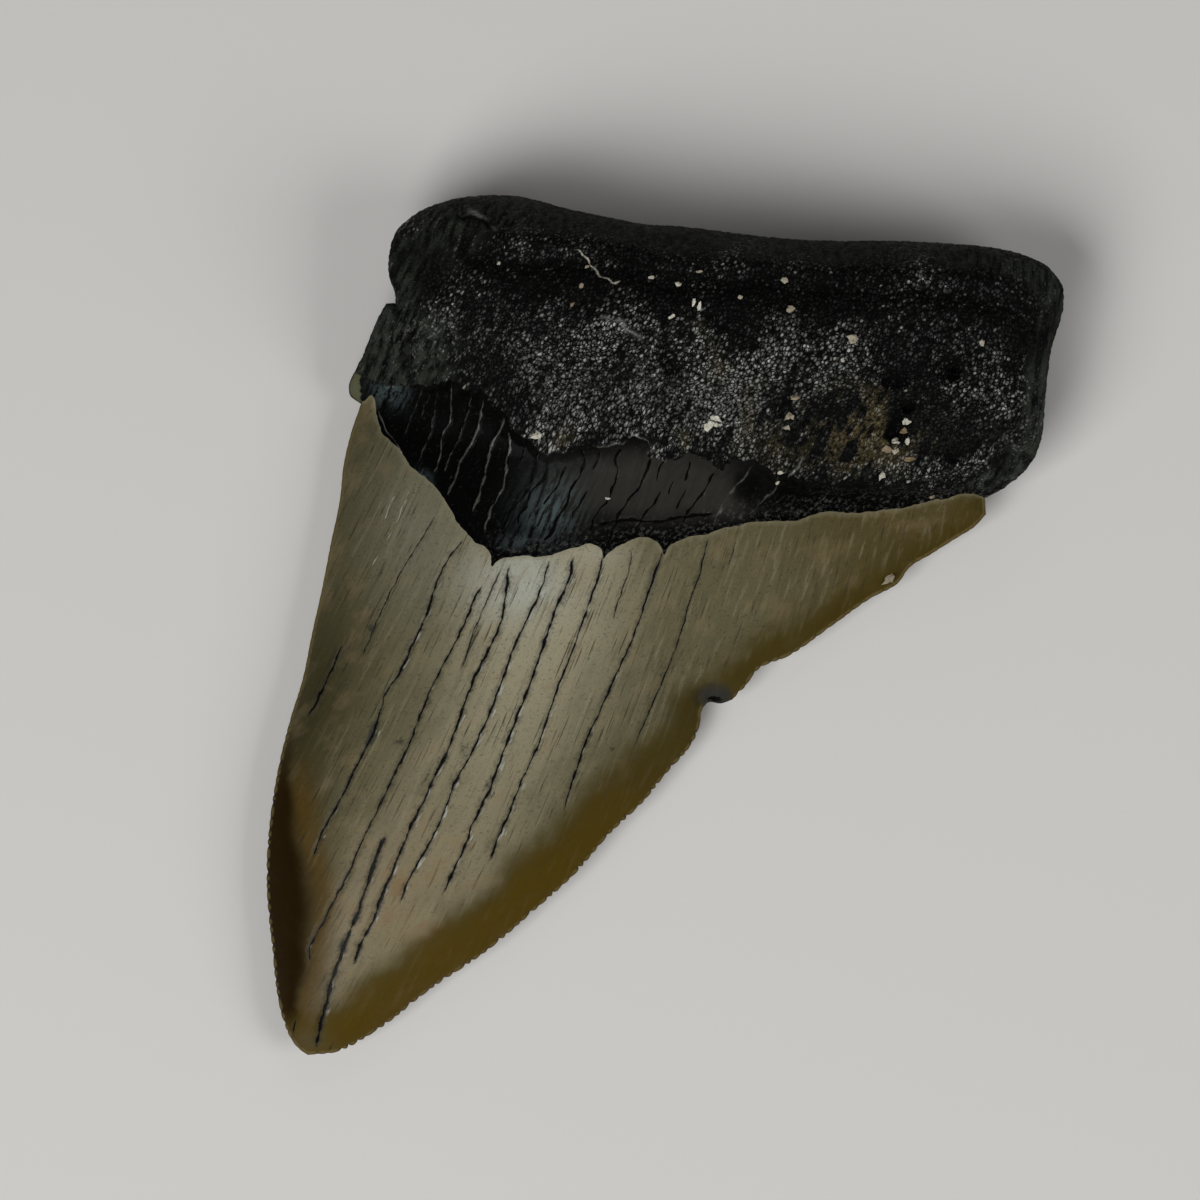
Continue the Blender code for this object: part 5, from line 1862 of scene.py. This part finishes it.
            # A triangle between three points of the rim would lie flat, so it gets a point in its middle.
            flat = [face for face in found[2] if max(face) < rim]
            if not flat:
                break
            middles = np.array([drawn[face].mean(0) for face in flat])
            drawn, true = np.vstack([drawn, middles]), np.vstack([true, plan.rolled_up(middles)])
        places = np.array([tuple(point) for point in found[0]])
        known = np.array([origin[0] if origin else -1 for origin in found[3]])
        points = np.where((known >= 0)[:, None], true[known], 0.0)
        points[known < 0] = plan.rolled_up(places[known < 0])
        return Sheet(points, found[2])

    def build(self) -> bpy.types.Object:
        """Makes the mesh of both faces, sewn together along the rim.

        Returns:
            The object, with its finishes' marks on its points.
        """
        upper, lower = self.upper_sheet(), self.lower_sheet()
        rim = len(self.plan.outline)
        above, below = self.plan.survey(upper.points), self.plan.survey(lower.points[rim:])
        heights = self.lingual(above)
        edge = self.edge_height(above)
        heights[:rim] = edge[:rim]
        under = self.underside.height(below, self.edge_height(below))
        places = np.vstack([
            np.column_stack([upper.points, heights]),
            np.column_stack([lower.points[rim:], under]),
        ])
        moved = [*range(rim), *range(len(upper.points), len(places))]
        turned = [[moved[corner] for corner in reversed(face)] for face in lower.faces]
        mesh = bpy.data.meshes.new("tooth_body")
        mesh.from_pydata(places.tolist(), [], upper.faces + turned)
        skin = [smoothstep(0.0, 0.6, above.into_root), smoothstep(0.3, 1.2, below.past_labial)]
        skin = np.concatenate(skin) * smoothstep(0.0, 0.6, places[:, 2])
        normals = np.empty(3 * len(places))
        mesh.vertices.foreach_get("normal", normals)
        places += normals.reshape(-1, 3) * self.root.skin(places, skin)[:, None]
        places[:, :2] -= DRAWING_CENTRE
        mesh.vertices.foreach_set("co", (places * MM).ravel())
        mesh.update()
        mesh.shade_smooth()
        self._dress(mesh, above, below, places)
        return new_object("tooth_body", mesh)

    def _dress(self, mesh: bpy.types.Mesh, above: Survey, below: Survey, places: Array) -> None:
        """Stores the marks and colours on the points and gives each face its finish.

        Args:
            mesh: The mesh of the tooth.
            above: Points of the upper face.
            below: Points of the lower face inside the rim.
            places: All of the points, in millimetres.
        """
        stored = {}
        for maker in (self.crown, self.neck, self.root):
            upper, lower = maker.tints(above), maker.tints(below)
            for name in upper:
                stored[name] = np.concatenate([upper[name], lower[name]])
        marks_above = [seams.measure(above.points)[1] for seams in self.upper_seams]
        marks_below = self.underside.seams.measure(below.points)[1]
        for mark in Mark:
            strongest = np.max([marks[mark] for marks in marks_above], axis=0)
            stored[mark.value] = np.concatenate([strongest, marks_below[mark]])
        for name, values in stored.items():
            mesh.attributes.new(name, "FLOAT", "POINT").data.foreach_set("value", values)
        flow = np.column_stack([np.vstack([above.flow, below.flow]), places[:, 2]])
        mesh.attributes.new("flow", "FLOAT_VECTOR", "POINT").data.foreach_set("vector", flow.ravel())
        enamel = np.concatenate([above.into_enamel, -below.past_labial])
        root = np.concatenate([above.into_root, below.past_labial])
        for finish in (EnamelFinish(), BourletteFinish(), RootFinish()):
            mesh.materials.append(finish.material())
        corners = np.empty(3 * len(mesh.polygons), int)
        mesh.polygons.foreach_get("vertices", corners)
        corners = corners.reshape(-1, 3)
        parts = np.where(root[corners].mean(1) > 0.0, Part.ROOT.value, Part.BOURLETTE.value)
        parts[enamel[corners].mean(1) > 0.0] = Part.ENAMEL.value
        mesh.polygons.foreach_set("material_index", parts)


@dataclass(frozen=True)
class ShellFinish:
    """White shell, and sand grains stained tan."""

    white: Colour = (0.62, 0.6, 0.5)
    tan: Colour = (0.2, 0.145, 0.08)
    shade: Colour = (0.06, 0.05, 0.03)

    def material(self) -> bpy.types.Material:
        """Mixes the material."""
        make = Recipe("shell_and_sand", self.white)
        fine = make.cloud(EVEN, 3.5, 3.0, 0.6)
        make.lay(make.mark("tan"), self.tan)
        make.lay(make.ramp(fine, 0.5, 0.7) * 0.5, self.shade)
        return make.done(Roughness=0.5, Specular_IOR_Level=0.2, Normal=make.bump(fine, 0.05))


@dataclass
class ShellGrains:
    """Bits of shell and sand lodged in the root and the cracks."""

    tooth: Tooth
    rings: int = 5
    sectors: int = 7
    flatness: float = 0.6
    sunk: float = 0.35
    roughness: float = 1.1

    def build(self) -> bpy.types.Object:
        """Makes all of the grains as one mesh, each set into the surface below it."""
        middles = np.array([place for place, _, _, _ in GRAINS])
        ground = self.tooth.lingual(self.tooth.plan.survey(middles))
        up = np.linspace(0.0, math.pi, self.rings)[1:-1, None]
        around = np.linspace(0.0, 2.0 * math.pi, self.sectors, endpoint=False)
        ball = [np.sin(up) * np.cos(around), np.sin(up) * np.sin(around), np.cos(up) + 0.0 * around]
        ball = np.stack(ball, -1)
        ball = np.vstack([[(0.0, 0.0, 1.0)], ball.reshape(-1, 3), [(0.0, 0.0, -1.0)]])
        places, faces, tans = [], [], []
        for number, ((middle, (length, width), turn, tan), height) in enumerate(zip(GRAINS, ground)):
            lumpy = ball * (1.0 + self.roughness * ripple(ball + 3.7 * number, 0.8, 1.0))[:, None]
            thick = self.flatness * width
            lumpy *= (length, width, thick)
            cos, sin = math.cos(math.radians(turn)), math.sin(math.radians(turn))
            turned = lumpy @ np.array([(cos, sin, 0.0), (-sin, cos, 0.0), (0.0, 0.0, 1.0)])
            first = number * len(ball)
            places.append(turned + (*middle, height + thick * (1.0 - 2.0 * self.sunk)))
            faces += [[first + corner for corner in face] for face in self._ball_faces(len(ball))]
            tans += [tan] * len(ball)
        places = np.vstack(places)
        mesh = bpy.data.meshes.new("shell_grains")
        mesh.from_pydata(((places - (*DRAWING_CENTRE, 0.0)) * MM).tolist(), [], faces)
        mesh.attributes.new("tan", "FLOAT", "POINT").data.foreach_set("value", tans)
        mesh.attributes.new("flow", "FLOAT_VECTOR", "POINT").data.foreach_set("vector", places.ravel())
        mesh.materials.append(ShellFinish().material())
        return new_object("shell_grains", mesh)

    def _ball_faces(self, last: int) -> list[list[int]]:
        """Joins the points of a ball.

        Args:
            last: How many points it has.

        Returns:
            Its faces, with the rings joined from the top down.
        """
        turn = [(sector, (sector + 1) % self.sectors) for sector in range(self.sectors)]
        faces = [[0, 1 + here, 1 + there] for here, there in turn]
        for ring in range(self.rings - 3):
            low = 1 + ring * self.sectors
            next_low = low + self.sectors
            faces += [[low + here, next_low + here, next_low + there, low + there] for here, there in turn]
        low = last - 1 - self.sectors
        return faces + [[low + there, low + here, last - 1] for here, there in turn]


@dataclass(frozen=True)
class FloorFinish:
    """Plain pale paper."""

    colour: Colour = (0.7, 0.69, 0.67)

    def material(self) -> bpy.types.Material:
        """Mixes the material."""
        return Recipe("pale_floor", self.colour).done(Roughness=0.9, Specular_IOR_Level=0.1)


@dataclass(frozen=True)
class Lamp:
    """A square soft light aimed at the tooth, with its place and side in metres and its power in watts."""

    name: str
    place: Triple
    size: float
    power: float

    def hang(self) -> None:
        """Hangs the lamp."""
        data = bpy.data.lights.new(self.name, "AREA")
        data.size, data.energy = self.size, self.power
        lamp = new_object(self.name, data)
        lamp.location = self.place
        lamp.rotation_euler = Vector(self.place).to_track_quat("Z", "Y").to_euler()


@dataclass
class Studio:
    """A plain pale floor, soft light from above and the camera over the tooth."""

    floor_size: float = 8.0
    camera_place: Triple = (-0.00475, 0.002025, 0.503)
    lens: float = 200.0
    sensor: float = 36.0
    nearest: float = 0.01
    farthest: float = 20.0
    room_light: float = 0.06
    room_colour: Colour = (1.0, 0.99, 0.97)
    lamps: tuple[Lamp, ...] = (
        Lamp("key", (-0.28, -0.26, 0.48), 0.38, 2.7),
        Lamp("right", (0.42, -0.12, 0.36), 0.3, 1.1),
        Lamp("top", (0.05, 0.5, 0.4), 0.3, 0.18),
    )

    def floor(self) -> None:
        """Lays the floor."""
        half = self.floor_size / 2
        corners = [(-half, -half, 0), (half, -half, 0), (half, half, 0), (-half, half, 0)]
        mesh = bpy.data.meshes.new("floor")
        mesh.from_pydata(corners, [], [(0, 1, 2, 3)])
        mesh.materials.append(FloorFinish().material())
        floor = new_object("floor", mesh)

    def camera(self) -> None:
        """Hangs the camera over the tooth, looking straight down."""
        data = bpy.data.cameras.new("camera")
        data.lens, data.sensor_width = self.lens, self.sensor
        data.clip_start, data.clip_end = self.nearest, self.farthest
        camera = new_object("camera", data)
        camera.location = self.camera_place
        bpy.context.scene.camera = camera

    def surroundings(self) -> None:
        """Fills the room with weak pale light."""
        world = bpy.data.worlds.new("room")
        world.use_nodes = True
        background = world.node_tree.nodes["Background"]
        background.inputs["Color"].default_value = (*self.room_colour, 1.0)
        background.inputs["Strength"].default_value = self.room_light
        bpy.context.scene.world = world
        bpy.context.scene.view_settings.view_transform = "Standard"

    def build(self) -> None:
        """Sets up all of it."""
        self.floor()
        self.camera()
        self.surroundings()
        for lamp in self.lamps:
            lamp.hang()


def main() -> None:
    """Builds the tooth, the grains in its root and the studio."""
    logging.basicConfig(level=logging.INFO, format="%(name)s: %(message)s")
    plan = Plan()
    log.info("plan drawn, %d points of outline", len(plan.outline))
    tooth = Tooth(plan, Crown(plan), Neck(), Root(), Underside(plan))
    body = tooth.build()
    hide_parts(NODE)
    for piece in (body, ShellGrains(tooth).build()):
        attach(piece, BODY)
        log.info("%s: %d faces", piece.name, len(piece.data.polygons))
    Studio().build()


if __name__ == "__main__":
    main()
